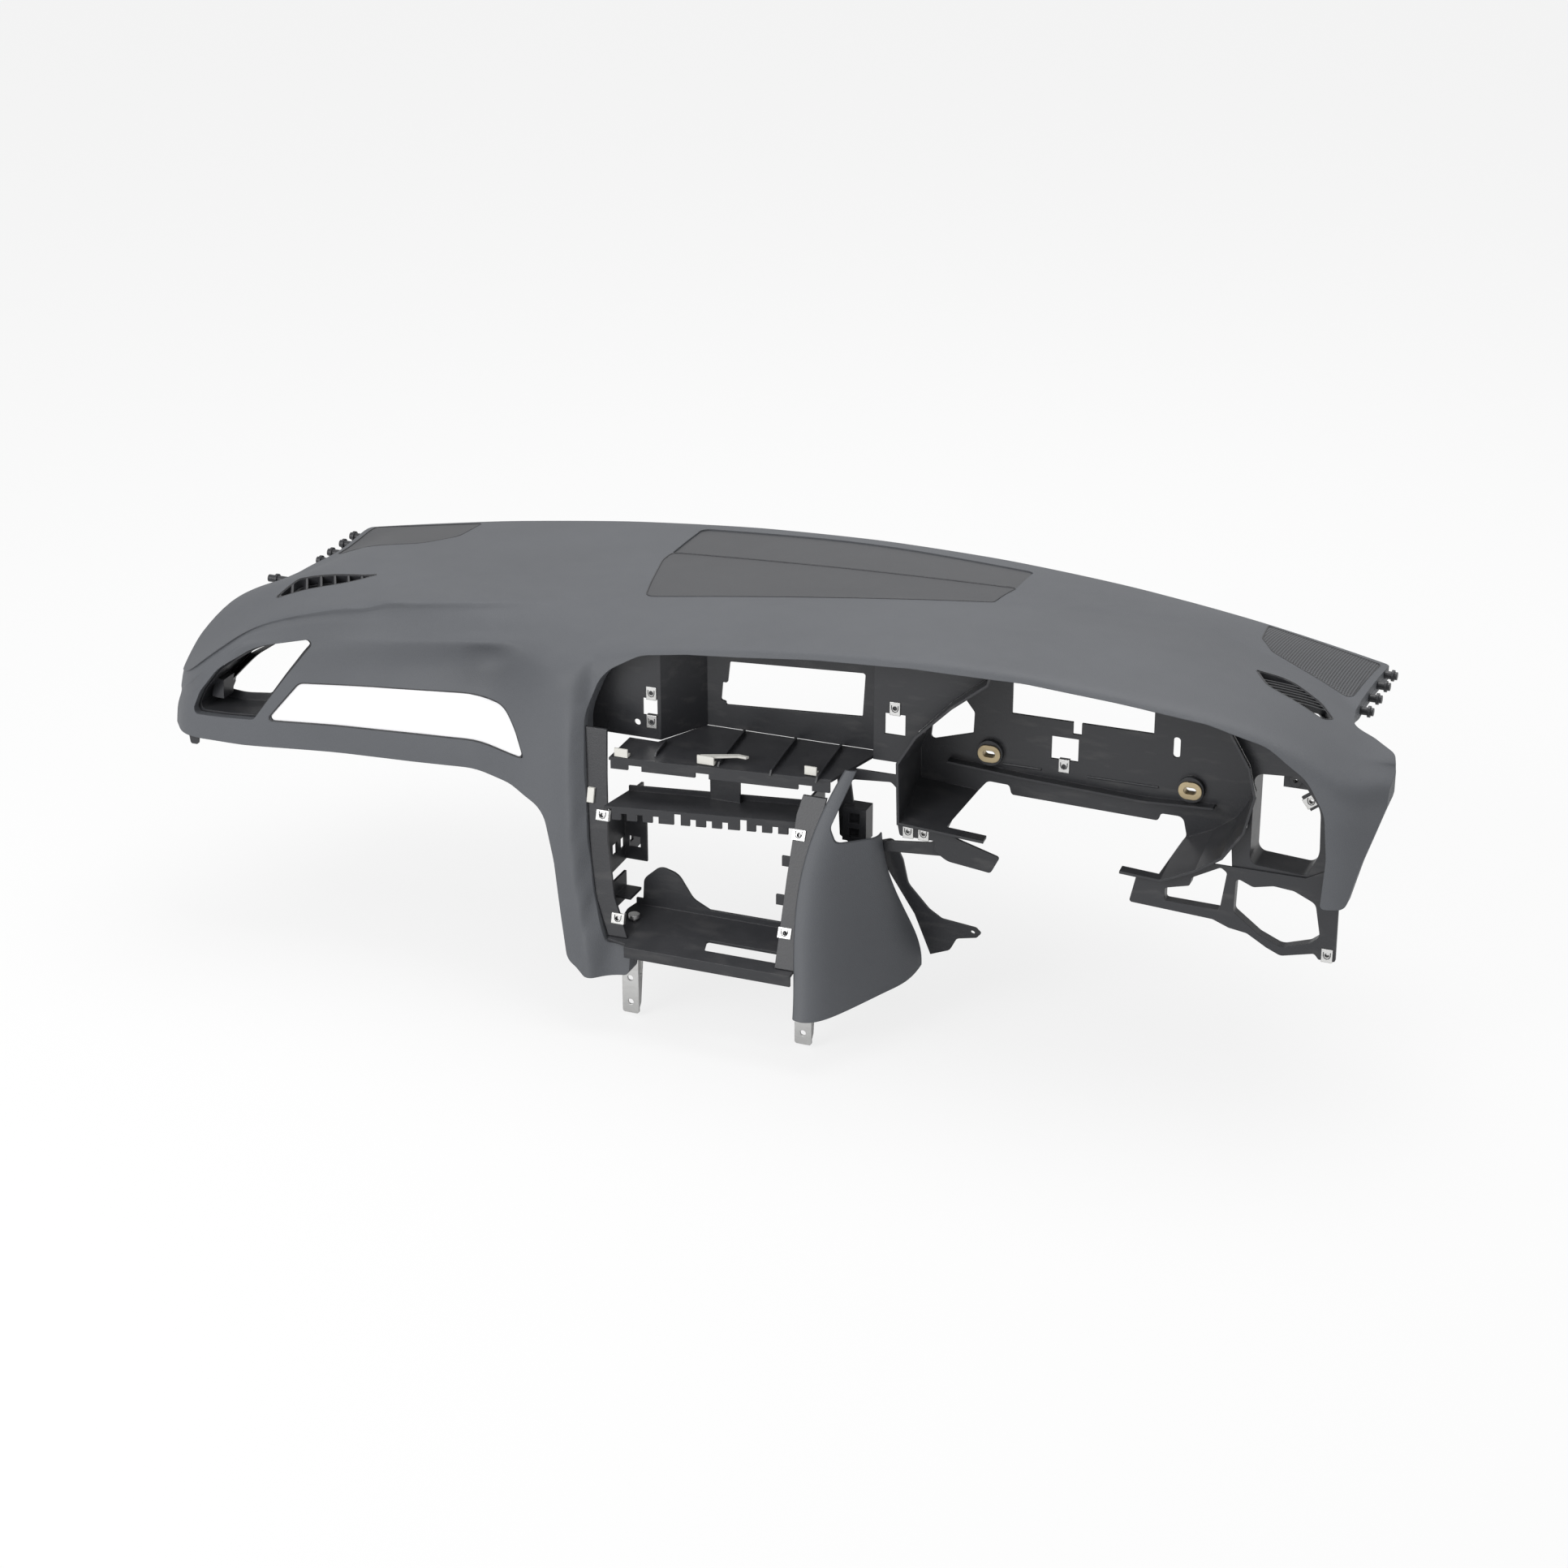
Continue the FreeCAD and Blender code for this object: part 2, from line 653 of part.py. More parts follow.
def display_housing():
    back = vertical_plate([(-62, recess_foot), (150, recess_foot), (150, 60), (-62, 60)], display_back_y)
    window = [(-35, -28, 3), (127, -19, 3), (124, -71, 3), (-40, -81, 3), (-40, -77, 2), (-46, -76, 2),
              (-44, -54, 2), (-38, -54, 2)]
    back = back.cut(vertical_plate(window, display_back_y - 5, 15))
    slant = prism_z([(-62, display_back_y), (-62, display_back_y + 3), (-66, display_back_y + 3),
                     (-103, display_side_y), (-99, display_side_y)], recess_foot, 60)
    side = vertical_plate([(recess_left_x, recess_foot), (-99, recess_foot), (-99, 60), (recess_left_x, 60)],
                          display_side_y)
    side = side.cut([box(side_nut_x - 11, side_nut_x + 9, 30, 60, side_slot_foot, side_slot_top),
                     Part.makeCylinder(4, 20, vec(-128, 30, -97), vec(0, 1, 0))])
    wall = prism_x([(panel_y, display_foot), (display_back_y + 3, display_foot), (display_back_y + 3, 60),
                    (panel_y, 60)], 147, 150)
    panel = vertical_plate([(147, display_foot), (240, display_foot), (290, 60), (147, 60)], panel_y)
    panel = panel.cut(box(panel_nut_x - 12, panel_nut_x + 12, 50, 80, panel_slot_top - 25, panel_slot_top))
    ribs = [box(x, x + 2.5, display_back_y + 3, display_back_y + 9, display_foot, 60) for x in (-56, 136)]
    body = joined([back, slant, side, wall, panel] + ribs)
    shelf_room = prism_x([(-60, -200), (200, -200), (200, upper_height(200) + seat_gap),
                          (-60, upper_height(-60) + seat_gap)], recess_left_x - 10, 151)
    return biggest(body.cut([BUCKET_ROOM, PAD_ROOM, shelf_room]))


def biggest(shape):
    return max(shape.Solids, key=lambda solid: solid.Volume)


# Centre stack shelves
upper_shelf_z = -119.4
upper_shelf_rise = 0.12
middle_shelf_z = -170.0
floor_front_z = -318.0
floor_rise = 0.22
floor_front_y = -80.0


def left_plane(x, z):
    return stack_y(z) + 8.0


def right_edge_y(z):
    return driver_edge_y + driver_lean * (z - driver_edge_z)


def right_plane(x, z):
    return right_edge_y(z) + 3.0


def pitched_plate(corners, height, thickness):
    """A flat plate seen from above, with height(y) as its top."""
    wire = rounded_wire(corners, lambda p: vec(p.x, p.y, height(p.y)))
    return Part.Face(wire).extrude(vec(0, 0, -thickness))


def upper_height(y):
    return upper_shelf_z + upper_shelf_rise * y


def floor_height(y):
    return floor_front_z + floor_rise * (y - floor_front_y)


def floor_underside(y):
    return floor_height(y) - shelf_wall - seat_gap


def flange_foot(plane):
    """Lowest level of a bracket flange that stands on the sloping floor."""
    return floor_height(plane(0, floor_front_z) + bracket_wall + 1.5) + seat_gap


leg_head = floor_underside(leg_face_y)
left_lean = -math.degrees(math.atan(stack_lean))
right_lean = -math.degrees(math.atan(driver_lean))
left_foot = flange_foot(left_plane)
right_foot = flange_foot(right_plane)
left_side_x = -137.0
right_side_x = 84.0
LEFT_FLANGE = [(-172, -92), (-165, -140), (-154, -213), (-141, -272), (-121, left_foot),
               (-98, left_foot), (-118, -272), (-132, -213), (-141, -140), (-146, -92)]
RIGHT_FLANGE = [(84, -140), (112, -140), (107, -180), (101, -223), (105, -294), (108, right_foot),
                (82, right_foot), (80, -223), (80, -160)]


def upper_shelf():
    corners = [(-140, -13), (116, 12), (146, display_back_y - seat_gap), (-64, display_back_y - seat_gap),
               (-66, 84), (-101, 36), (-136, 36)]
    plate = pitched_plate(corners, upper_height, shelf_wall)
    ribs = []
    for x in (-92, -16, 46, 100):
        top = upper_height(0) + 5.0
        ribs.append(prism_x([(2, upper_height(2) - 1), (34, upper_height(34) - 1),
                             (34, upper_height(34) + 5), (6, top)], x, x + 2.5))
    for x in (-16, 46, 100):
        ribs.append(prism_x([(34, upper_height(34) - 1), (82, upper_height(82) - 1),
                             (82, upper_height(82) + 5), (34, upper_height(34) + 5)], x, x + 2.5))
    lip = prism_z([(-138, -13), (114, 12), (114, 15), (-138, -10)], -134, -120)
    notches = [box(x, x + 16, -30, 30, -140, -128) for x in (-118, -40, 78)]
    lip = lip.cut(notches)
    return joined([plate, lip] + ribs)


def middle_shelf():
    def front_y(x):
        return -36.0 + (x + 136.0) * 0.1705

    post_y = 26.0
    left = left_side_x + seat_gap
    right = right_side_x - seat_gap
    corners = [(left, front_y(left)), (right, front_y(right)), (right, 51.5), (-128, 16)]
    plate = prism_z(corners, middle_shelf_z - shelf_wall, middle_shelf_z)
    post = prism_y([(-34, middle_shelf_z - 1), (2, middle_shelf_z - 1),
                    (2, upper_height(post_y) - shelf_wall - seat_gap),
                    (-34, upper_height(post_y) - shelf_wall - seat_gap)], post_y, post_y + 3)
    flaps = []
    for start, end in ((-128, -58), (-50, 16), (24, right - 2)):
        strip = prism_z([(start, front_y(start)), (end, front_y(end)), (end, front_y(end) + 2.5),
                         (start, front_y(start) + 2.5)], middle_shelf_z - 16, middle_shelf_z - 1)
        teeth = [box(x, x + 7, -60, 60, middle_shelf_z - 20, middle_shelf_z - 8)
                 for x in range(start + 10, int(end) - 8, 18)]
        flaps.append(strip.cut(teeth))
    rear = prism_z([(-128, 13), (right, 48.5), (right, 51.5), (-128, 16)],
                   middle_shelf_z - 1, middle_shelf_z + 6)
    return joined([plate, post, rear] + flaps)


def bracket_left():
    plate = sloped_plate(LEFT_FLANGE, left_plane, bracket_wall)
    side = prism_x([(left_plane(0, -180) + 1, -180), (75, -186), (75, -258),
                    (left_plane(0, -262) + 1, -262)], left_side_x - bracket_wall, left_side_x)
    windows = [box(-150, -130, y, y + 13, -243 - y * 0.05, -229 - y * 0.05) for y in (-14, 8, 30, 52)]
    side = side.cut(windows)
    step = prism_z([(-140, 20), (-110, 20), (-110, 23), (-140, 23)], -258, -196)
    step = step.cut(box(-132, -118, 10, 30, -243, -229))
    lower = prism_x([(left_plane(0, -262), -262), (-2, -262), (-2, -296),
                     (left_plane(0, -296) + 1, -296)], -129, -126)
    shelf = box(-129, -107, -34, -4, -282, -279)
    body = joined([plate, side, step, lower, shelf])
    cuts = []
    for x, z in left_nut_places():
        y = left_plane(x, z)
        cuts.append(nut_room(x, y, z, -90, left_lean))
        cuts.append(Part.makeCylinder(nut_hole + 0.4, 40, vec(x, y - 20, z), vec(0, 1, 0)))
    return biggest(body.cut(cuts))


def bracket_right():
    plate = sloped_plate(RIGHT_FLANGE, right_plane, bracket_wall)
    side = prism_x([(right_plane(0, -150) + 1, -150), (70, -150), (70, -250),
                    (right_plane(0, -300) + 1, -300)], right_side_x, right_side_x + bracket_wall)
    side = side.cut([box(80, 90, y, y + 14, -226, -206) for y in (4, 28, 50)])
    ears = [box(70, 86, right_plane(0, z) + 3, right_plane(0, z) + 6, z - 9, z + 3) for z in (-207, -246)]
    body = joined([plate, side] + ears)
    cuts = []
    for x, z in right_nut_places():
        y = right_plane(x, z)
        cuts.append(nut_room(x, y, z, 90, right_lean))
        cuts.append(Part.makeCylinder(nut_hole + 0.4, 40, vec(x, y - 20, z), vec(0, 1, 0)))
    return biggest(body.cut(cuts))


def nut_room(x, y, z, turn, lean):
    """The room behind a bracket flange for a spring nut's rear leg and barrel."""
    wide = nut_wide / 2 + 1.0
    long = nut_long / 2 + 2.0
    body = box(-wide, wide, bracket_wall, bracket_wall + 9, -long, long)
    body.rotate(vec(0, 0, 0), vec(0, 1, 0), turn)
    body.rotate(vec(0, 0, 0), vec(1, 0, 0), lean)
    body.translate(vec(x, y, z))
    return body


def left_nut_places():
    """Nuts whose fold reaches round the right edge of the left flange."""
    places = []
    for z in (-185.0, -294.0):
        edge = max(edge_at(LEFT_FLANGE, z + half, max) for half in (-nut_wide / 2, nut_wide / 2))
        places.append((edge + seat_gap - nut_long / 2, z))
    return places


def right_nut_places():
    """Nuts whose fold reaches round the left edge of the right flange."""
    places = []
    for z in (-180.0, -279.0):
        edge = min(edge_at(RIGHT_FLANGE, z + half, min) for half in (-nut_wide / 2, nut_wide / 2))
        places.append((edge - seat_gap + nut_long / 2, z))
    return places


def cross_member():
    corners = [(-96, floor_front_y), (103, floor_front_y), (104, -66), (121, -61), (120, -18),
               (90, 0), (-114, 0), (-120, -14), (-120, -70), (-97, -74)]
    floor = pitched_plate(corners, floor_height, shelf_wall)
    slot = [(-6, -62, 3), (86, -62, 3), (84, -44, 3), (-10, -44, 3)]
    floor = floor.cut(prism_z(slot, -400, -250))
    lip = box(-96, 103, floor_front_y, floor_front_y + 3, floor_front_z - 13, floor_front_z - 1)
    rear = box(-114, 82, -3, 0, floor_height(-3) - 1, floor_height(-3) + 7)
    hump = prism_y([(-106, floor_height(-3) - 1), (-104, -268, 12), (-84, -250, 14), (-62, -256, 20),
                    (-44, -284, 20), (-14, floor_height(-3) + 2), (-14, floor_height(-3) - 1)], -3, 0)
    body = joined([floor, lip, rear, hump])
    bores = [Part.makeCylinder(leg_hole, 40, vec(x, leg_face_y + leg_bolt_back, floor_front_z - 20),
                               vec(0, 0, 1)) for x in (left_leg_x, right_leg_x)]
    return body.cut(bores)


def leg(x):
    """A bent steel bracket with two fixing holes and a slotted side."""
    half = leg_width / 2
    back = leg_face_y + leg_bolt_back + 10.0
    front = [(x - half, leg_foot, 3), (x + half, leg_foot, 3), (x + half, leg_head), (x - half, leg_head)]
    plate = vertical_plate(front, leg_face_y, leg_wall)
    foot = pitched_plate([(x - half, leg_face_y), (x + half, leg_face_y), (x + half, back), (x - half, back)],
                         floor_underside, leg_wall)
    side = prism_x([(leg_face_y, leg_foot + 4), (leg_face_y + 7, leg_foot + 12),
                    (leg_face_y + 16, leg_head - 30), (leg_face_y + 16, leg_head - leg_wall),
                    (leg_face_y, leg_head - leg_wall)], x + half - leg_wall, x + half)
    slot = box(x, x + half + 1, leg_face_y + 6, leg_face_y + 11, leg_foot + 46, leg_foot + 66)
    cuts = [slot]
    for i in range(2):
        z = leg_foot + leg_hole_rise + leg_hole_pitch * i
        cuts.append(Part.makeCylinder(leg_hole, 20, vec(x, leg_face_y - 8, z), vec(0, 1, 0)))
    bolt = vec(x, leg_face_y + leg_bolt_back, leg_head - 12)
    cuts.append(Part.makeCylinder(leg_hole, 24, bolt, vec(0, 0, 1)))
    return joined([plate, foot, side]).cut(cuts)


def console_panel():
    """The soft panel between the stack and the driver's knee."""
    rows = []
    spread = [(0, 0), (12, 0), (32, 22), (52, 60), (62, 105)]
    levels = [(-108, 130, 0.42, 0.15), (-180, 104, 0.95, 0.56), (-223, 98, 1.1, 0.80),
              (-294, 103, 1.3, 1.32), (-362, 114, 1.38, 1.72)]
    for z, left, across, along in levels:
        edge = right_edge_y(z)
        rows.append([vec(left + dx * across, edge + dy * along, z) for dx, dy in spread])
    surface = Part.BSplineSurface()
    surface.interpolate(rows)
    body = surface.toShape().extrude(vec(-2.2, 2.2, 0))
    notch = [(141, -60), (141, -108), (121, -168, 10), (128, -185, 8), (220, -194), (220, -60)]
    behind_frame = box(100, 260, switch_y - seat_gap, 200, switch_foot - seat_gap, -100)
    return body.cut([prism_y(notch, -200, 200), behind_frame])


def console_flank():
    """The hard inner plate behind the driver's console panel, with its screw tongue."""
    outline = [(150, -205), (174, -196, 6), (183, -225, 10), (186, -258, 20), (208, -290, 20),
               (222, -301, 6), (262, -306, 4), (268, -313, 3), (262, -320, 4), (238, -326, 8),
               (228, -345, 10), (204, -356), (190, -300), (165, -245)]

    def depth(x, z):
        return switch_y + housing_wall + seat_gap - 0.30 * (z + 196.0)

    plate = sloped_plate(outline, depth, housing_wall)
    hole = Part.makeCylinder(2.6, 60, vec(258, 50, -313), vec(0, 1, 0))
    return plate.cut(hole)


# Ignition switch opening between the console panel and the instrument bucket
switch_y = 50.0
switch_foot = -214.0


def ignition_switch_housing():
    outer = [(108, -118), (185, -118), (236, -160), (236, -206), (132, switch_foot), (112, -200)]
    inner = [(124, -131, 6), (172, -127, 6), (196, -150, 6), (224, -178, 4), (222, -192, 6), (134, -203, 8)]
    frame = vertical_plate(outer, switch_y).cut(vertical_plate(inner, switch_y - 5, 15))
    lock = box(160, 207, switch_y - 20, switch_y + 8, -168, -143)
    lock = lock.cut([Part.makeCylinder(4, 30, vec(170, switch_y - 25, -157), vec(0, 1, 0)),
                     box(180, 200, switch_y - 21, switch_y - 12, -164, -148)])
    plug = box(118, 146, switch_y - 8, switch_y + 14, -202, -162)
    plug = plug.cut([box(126, 138, switch_y - 9, switch_y, -180, -168),
                     box(126, 138, switch_y - 9, switch_y, -197, -186)])
    body = joined([frame, lock, plug])
    return biggest(body.cut(BUCKET_ROOM))


column_bracket_foot = -188.0


def column_bracket_nuts():
    z = column_bracket_foot + nut_long / 2 - seat_gap
    return [(194.0, z), (212.0, z)]


def column_bracket():
    """The black bracket with two spring nuts beside the steering column opening."""
    front = switch_y - seat_gap - 3.0
    outline = [(180, -168.5, 3), (224, -168.5, 3), (252, -182, 6), (300, -196, 3), (290, -216, 4),
               (240, -210, 20), (224, -200), (224, column_bracket_foot), (184, column_bracket_foot, 3)]
    body = vertical_plate(outline, front)
    cuts = [Part.makeCylinder(nut_hole + 0.4, 40, vec(x, front - 10, z), vec(0, 1, 0))
            for x, z in column_bracket_nuts()]
    return biggest(body.cut(cuts + [BUCKET_ROOM]))


# Driver's vent and knee support at the outer end
driver_vent_y = 44.0
vent_ear_y = driver_vent_y + 14.0
knee_y = 42.0
knee_wall = 4.0
knee_foot = -252.0
vent_nut_x = 637.0
vent_nut_z = -78.0
vent_nut_turn = 52.8
knee_nut_x = 668.0
knee_nut_z = knee_foot + nut_long / 2 - seat_gap


def driver_vent_frame():
    """The duct mouth left in the driver's vent opening."""
    plate = vertical_plate([(545, 20), (700, 20), (700, -168), (560, -168)], driver_vent_y)
    plate = plate.common(before(FRONT, seat_gap))
    tube = prism_y(grown(DRIVER_VENT, 3.0), driver_vent_y, driver_vent_y + 40)
    nut_ear = []
    for across, along in ((-9, 7), (9, 7), (9, -17), (-9, -17)):
        offset = vec(across, 0, -along + nut_long / 2 - 7 - seat_gap)
        turned = FreeCAD.Rotation(vec(0, 1, 0), vent_nut_turn).multVec(offset)
        nut_ear.append((vent_nut_x + turned.x, vent_nut_z + turned.z))
    ears = [vertical_plate([(606, -44), (632, -44), (632, -66), (606, -66)], vent_ear_y),
            vertical_plate(nut_ear, vent_ear_y)]
    hole = prism_y(DRIVER_VENT, driver_vent_y - 5, driver_vent_y + 60)
    body = plate.fuse(tube).cut(hole)
    body = body.fuse([ear.common(prism_y(grown(DRIVER_VENT, 1.0), 0, 200)) for ear in ears])
    bores = [Part.makeCylinder(4.0, 60, vec(619, driver_vent_y, -57), vec(0, 1, 0)),
             Part.makeCylinder(nut_hole + 0.4, 60, vec(vent_nut_x, driver_vent_y, vent_nut_z), vec(0, 1, 0))]
    return biggest(body.cut(bores + [BUCKET_ROOM, PAD_ROOM]))


def vent_bush():
    y = vent_ear_y
    ring = Part.makeCylinder(7.0, 2.0, vec(619, y - 2.0 - seat_gap, -57), vec(0, 1, 0))
    neck = Part.makeCylinder(4.0 - seat_gap, 6.0, vec(619, y - seat_gap, -57), vec(0, 1, 0))
    bore = Part.makeCylinder(2.2, 30.0, vec(619, y - 10, -57), vec(0, 1, 0))
    return ring.fuse(neck).cut(bore)


def knee_frame():
    """The open plastic frame under the instruments that carries the knee cover."""
    outer = [(449, -220, 3), (456, -188, 6), (468, -164, 4), (500, -160), (640, -160), (658, -150, 4),
             (676, -150, 4), (677, knee_foot, 2), (659, knee_foot, 2), (654, -246, 4), (618, -255, 10),
             (602, -248, 10), (580, -235, 10), (560, -232, 8), (542, -225, 8)]
    first = [(488, -212, 3), (488, -197, 3), (515, -190, 3), (517, -180, 6), (548, -163, 4),
             (555, -168, 4), (549, -213, 3)]
    second = [(565, -172, 4), (584, -180, 8), (606, -175, 10), (628, -177, 12), (652, -188, 10),
              (659, -226, 10), (648, -235, 10), (618, -245, 14), (593, -234, 12), (564, -212, 6)]
    plate = vertical_plate(outer, knee_y, knee_wall)
    plate = plate.cut([vertical_plate(hole, knee_y - 5, 20) for hole in (first, second)])
    rims = []
    for hole in (first, second):
        rim = vertical_plate(grown(hole, 2.5), knee_y, 12.0).cut(vertical_plate(hole, knee_y - 5, 30))
        rims.append(rim)
    body = joined([plate] + rims)
    screw = vec(knee_nut_x, knee_y - 10, knee_nut_z)
    body = body.cut(Part.makeCylinder(nut_hole + 0.4, 40, screw, vec(0, 1, 0)))
    vent_room = box(500, 700, driver_vent_y - seat_gap, driver_vent_y + 60, -168 - seat_gap, -20)
    return biggest(body.cut([BUCKET_ROOM, vent_room]))


def spring_nut(x, y, z, turn=0.0, lean=0.0, wall=housing_wall):
    """A folded sheet nut clipped over an edge; turn 0 has the fold at the bottom."""
    front = -seat_gap - nut_sheet
    back = wall + seat_gap
    fold = -nut_long / 2
    parts = [box(-nut_wide / 2, nut_wide / 2, front, front + nut_sheet, fold, nut_long / 2),
             box(-nut_wide / 2, nut_wide / 2, back, back + nut_sheet, fold, nut_long / 2 - 3),
             box(-nut_wide / 2, nut_wide / 2, front, back + nut_sheet, fold - nut_sheet, fold),
             Part.makeCylinder(nut_barrel, nut_rise, vec(0, back, 0), vec(0, 1, 0))]
    body = joined(parts)
    body = body.cut(Part.makeCylinder(nut_hole, 40, vec(0, -10, 0), vec(0, 1, 0)))
    body.rotate(vec(0, 0, 0), vec(0, 1, 0), turn)
    body.rotate(vec(0, 0, 0), vec(1, 0, 0), lean)
    body.translate(vec(x, y, z))
    return body


def spring_nuts():
    half = nut_long / 2 - seat_gap
    nuts = [spring_nut(side_nut_x, display_side_y, side_slot_top + half),
            spring_nut(side_nut_x, display_side_y, side_slot_foot - half, 180),
            spring_nut(panel_nut_x, panel_y, panel_slot_top + half),
            spring_nut(347.5, bucket_back_y - housing_wall, nut_row_z - half, 180),
            spring_nut(vent_nut_x, vent_ear_y, vent_nut_z, vent_nut_turn),
            spring_nut(knee_nut_x, knee_y, knee_nut_z, wall=knee_wall)]
    for x, z in left_nut_places():
        nuts.append(spring_nut(x, left_plane(x, z), z, -90, left_lean))
    for x, z in right_nut_places():
        nuts.append(spring_nut(x, right_plane(x, z), z, 90, right_lean))
    for x, z in column_bracket_nuts():
        nuts.append(spring_nut(x, switch_y - seat_gap - housing_wall, z))
    return Part.makeCompound(nuts)


def retaining_clips():
    """Pale plastic clips along the shelf and on the left bracket."""
    clips = []
    for x, y, wide in ((-126, -7, 16), (-29, 5, 20), (91, 17, 14)):
        base = upper_height(y + 4) + seat_gap
        block = joined([box(x - wide / 2, x + wide / 2, y - 4, y + 4, base, base + 3),
                        box(x - wide / 2, x + wide / 2, y - 4, y - 2, base, base + 10),
                        box(x - wide / 2 + 2, x - wide / 2 + 5, y - 4, y + 4, base, base + 6)])
        clips.append(block)
    base = upper_height(9) + seat_gap
    arm = [(-36, 1), (-28, 1), (4, 16), (14, 15), (16, 19), (3, 21), (-36, 5)]
    clips[1] = clips[1].fuse(prism_z(arm, base + 7.2, base + 9.8))
    z = -164.0
    flat = sloped_plate([(-161, z - 8), (-153, z - 8), (-153, z + 8), (-161, z + 8)],
                        lambda x, h: left_plane(x, h) - seat_gap - 3.0, 3.0)
    clips.append(flat)
    return Part.makeCompound(clips)


def locating_pegs():
    """Plastic pegs along both ends that find holes in the body side."""
    radius = 4.5
    pegs = [(min, -1, y, reach) for y, reach in ((176, 28), (254, 15), (285, 15), (319, 15), (349, 15))]
    pegs += [(max, 1, y, 14) for y in (240, 280, 320, 355)]
    solids = []
    for pick, side, y, reach in pegs:
        wall = pick(edge_at(PLAN, y + across, pick) for across in (-radius, 0, radius))
        start = vec(wall + side * seat_gap, y, -43.0)
        shaft = Part.makeCylinder(radius, reach, start, vec(side, 0, 0))
        collar = Part.makeCylinder(radius + 2, 3.0, start + vec(side * reach * 0.55, 0, 0), vec(side, 0, 0))
        solids.append(shaft.fuse(collar))
    return Part.makeCompound(solids)


def fascia_tab():
    """The small tab under the outer corner of the passenger fascia."""
    top = -fascia_foot - seat_gap
    return prism_y([(-697, top - 14, 3), (-687, top - 14, 3), (-685, top), (-699, top)], 12.0, 15.0)


def leg_bolts():
    bolts = []
    for x in (left_leg_x, right_leg_x):
        y = leg_face_y + leg_bolt_back
        radius = 6.5
        head_z = floor_height(y + radius) + seat_gap
        shaft = Part.makeCylinder(leg_hole - seat_gap, head_z - leg_head + leg_wall + 4,
                                  vec(x, y, leg_head - leg_wall - 4), vec(0, 0, 1))
        bolts.append(shaft.fuse(Part.makeCylinder(radius, 4.5, vec(x, y, head_z), vec(0, 0, 1))))
    return Part.makeCompound(bolts)


NODES = [
    ("dash_pad", dash_pad),
    ("pad_edge_frame", edge_frame),
    ("pad_carrier", pad_carrier),
    ("carrier_ribs", carrier_ribs),
    ("centre_top_cover", lambda: lid(COVER)),
    ("defroster_slot_grille", slot_grille),
    ("defroster_duct", defroster_duct),
    ("speaker_cover_left", lambda: lid(SPEAKER_LEFT, 0.5)),
    ("speaker_cover_right", lambda: lid(SPEAKER_RIGHT, 0.5)),
    ("side_grille_left", lambda: side_grille(SIDE_GRILLE_LEFT, 6, 119, (-597, 100), (15, 5))),
    ("side_grille_right", lambda: side_grille(SIDE_GRILLE_RIGHT, 7, 20, (556, 193), (11.5, -5.2))),
    ("passenger_decor_strip", decor_strip),
    ("passenger_vent_frame", vent_frame_left),
    ("airbag_chute", airbag_chute),
    ("display_housing", display_housing),
    ("cluster_housing", cluster_housing),
    ("cluster_grommets", cluster_grommets),
    ("stack_upper_shelf", upper_shelf),
    ("stack_middle_shelf", middle_shelf),
    ("stack_bracket_left", bracket_left),
    ("stack_bracket_right", bracket_right),
    ("console_cross_member", cross_member),
    ("console_leg_left", lambda: leg(left_leg_x)),
    ("console_leg_right", lambda: leg(right_leg_x)),
    ("leg_bolts", leg_bolts),
    ("driver_console_panel", console_panel),
    ("console_flank", console_flank),
    ("ignition_switch_housing", ignition_switch_housing),
    ("column_bracket", column_bracket),
    ("driver_vent_frame", driver_vent_frame),
    ("vent_bush", vent_bush),
    ("knee_frame", knee_frame),
    ("spring_nuts", spring_nuts),
    ("retaining_clips", retaining_clips),
    ("locating_pegs", locating_pegs),
    ("fascia_tab", fascia_tab),
]

for name, build in NODES:
    save(build(), name)
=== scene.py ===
# %% [markdown]
# # A car dashboard, dressed for the studio
# The measured solids of a right-hand-drive dashboard come in as a fixed frame. This lesson
# gives them their plastics and metals, adds the small moulded pieces that solids leave out,
# and sets up a plain studio. Lengths are metres, apart from the covers' outlines, which are
# millimetres. X runs to the driver's side, Y runs forward to the windscreen and Z runs up.

# %% Load the measured solids
import json
import math
import bmesh
import bpy
from mathutils import Matrix, Vector


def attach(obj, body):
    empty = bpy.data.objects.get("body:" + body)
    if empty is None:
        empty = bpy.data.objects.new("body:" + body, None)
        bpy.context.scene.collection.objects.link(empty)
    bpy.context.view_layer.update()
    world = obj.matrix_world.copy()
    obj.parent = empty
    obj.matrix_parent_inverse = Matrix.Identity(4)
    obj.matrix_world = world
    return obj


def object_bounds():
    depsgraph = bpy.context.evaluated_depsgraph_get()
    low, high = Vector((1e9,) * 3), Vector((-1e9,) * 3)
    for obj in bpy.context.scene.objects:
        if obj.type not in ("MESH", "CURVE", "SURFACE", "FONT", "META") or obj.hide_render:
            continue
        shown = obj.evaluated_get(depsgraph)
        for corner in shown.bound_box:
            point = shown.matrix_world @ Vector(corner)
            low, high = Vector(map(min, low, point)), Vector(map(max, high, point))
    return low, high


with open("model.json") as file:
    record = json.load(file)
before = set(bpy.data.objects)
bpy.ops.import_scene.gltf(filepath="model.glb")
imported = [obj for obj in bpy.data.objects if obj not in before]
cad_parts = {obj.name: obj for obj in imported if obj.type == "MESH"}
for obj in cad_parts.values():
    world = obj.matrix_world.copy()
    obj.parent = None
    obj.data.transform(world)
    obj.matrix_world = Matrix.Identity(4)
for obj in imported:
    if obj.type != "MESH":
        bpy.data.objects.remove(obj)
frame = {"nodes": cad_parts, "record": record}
cad_low, cad_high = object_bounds()
nodes = frame["nodes"]
print("solids:", len(nodes), "box:", [round(v, 3) for v in (*cad_low, *cad_high)])

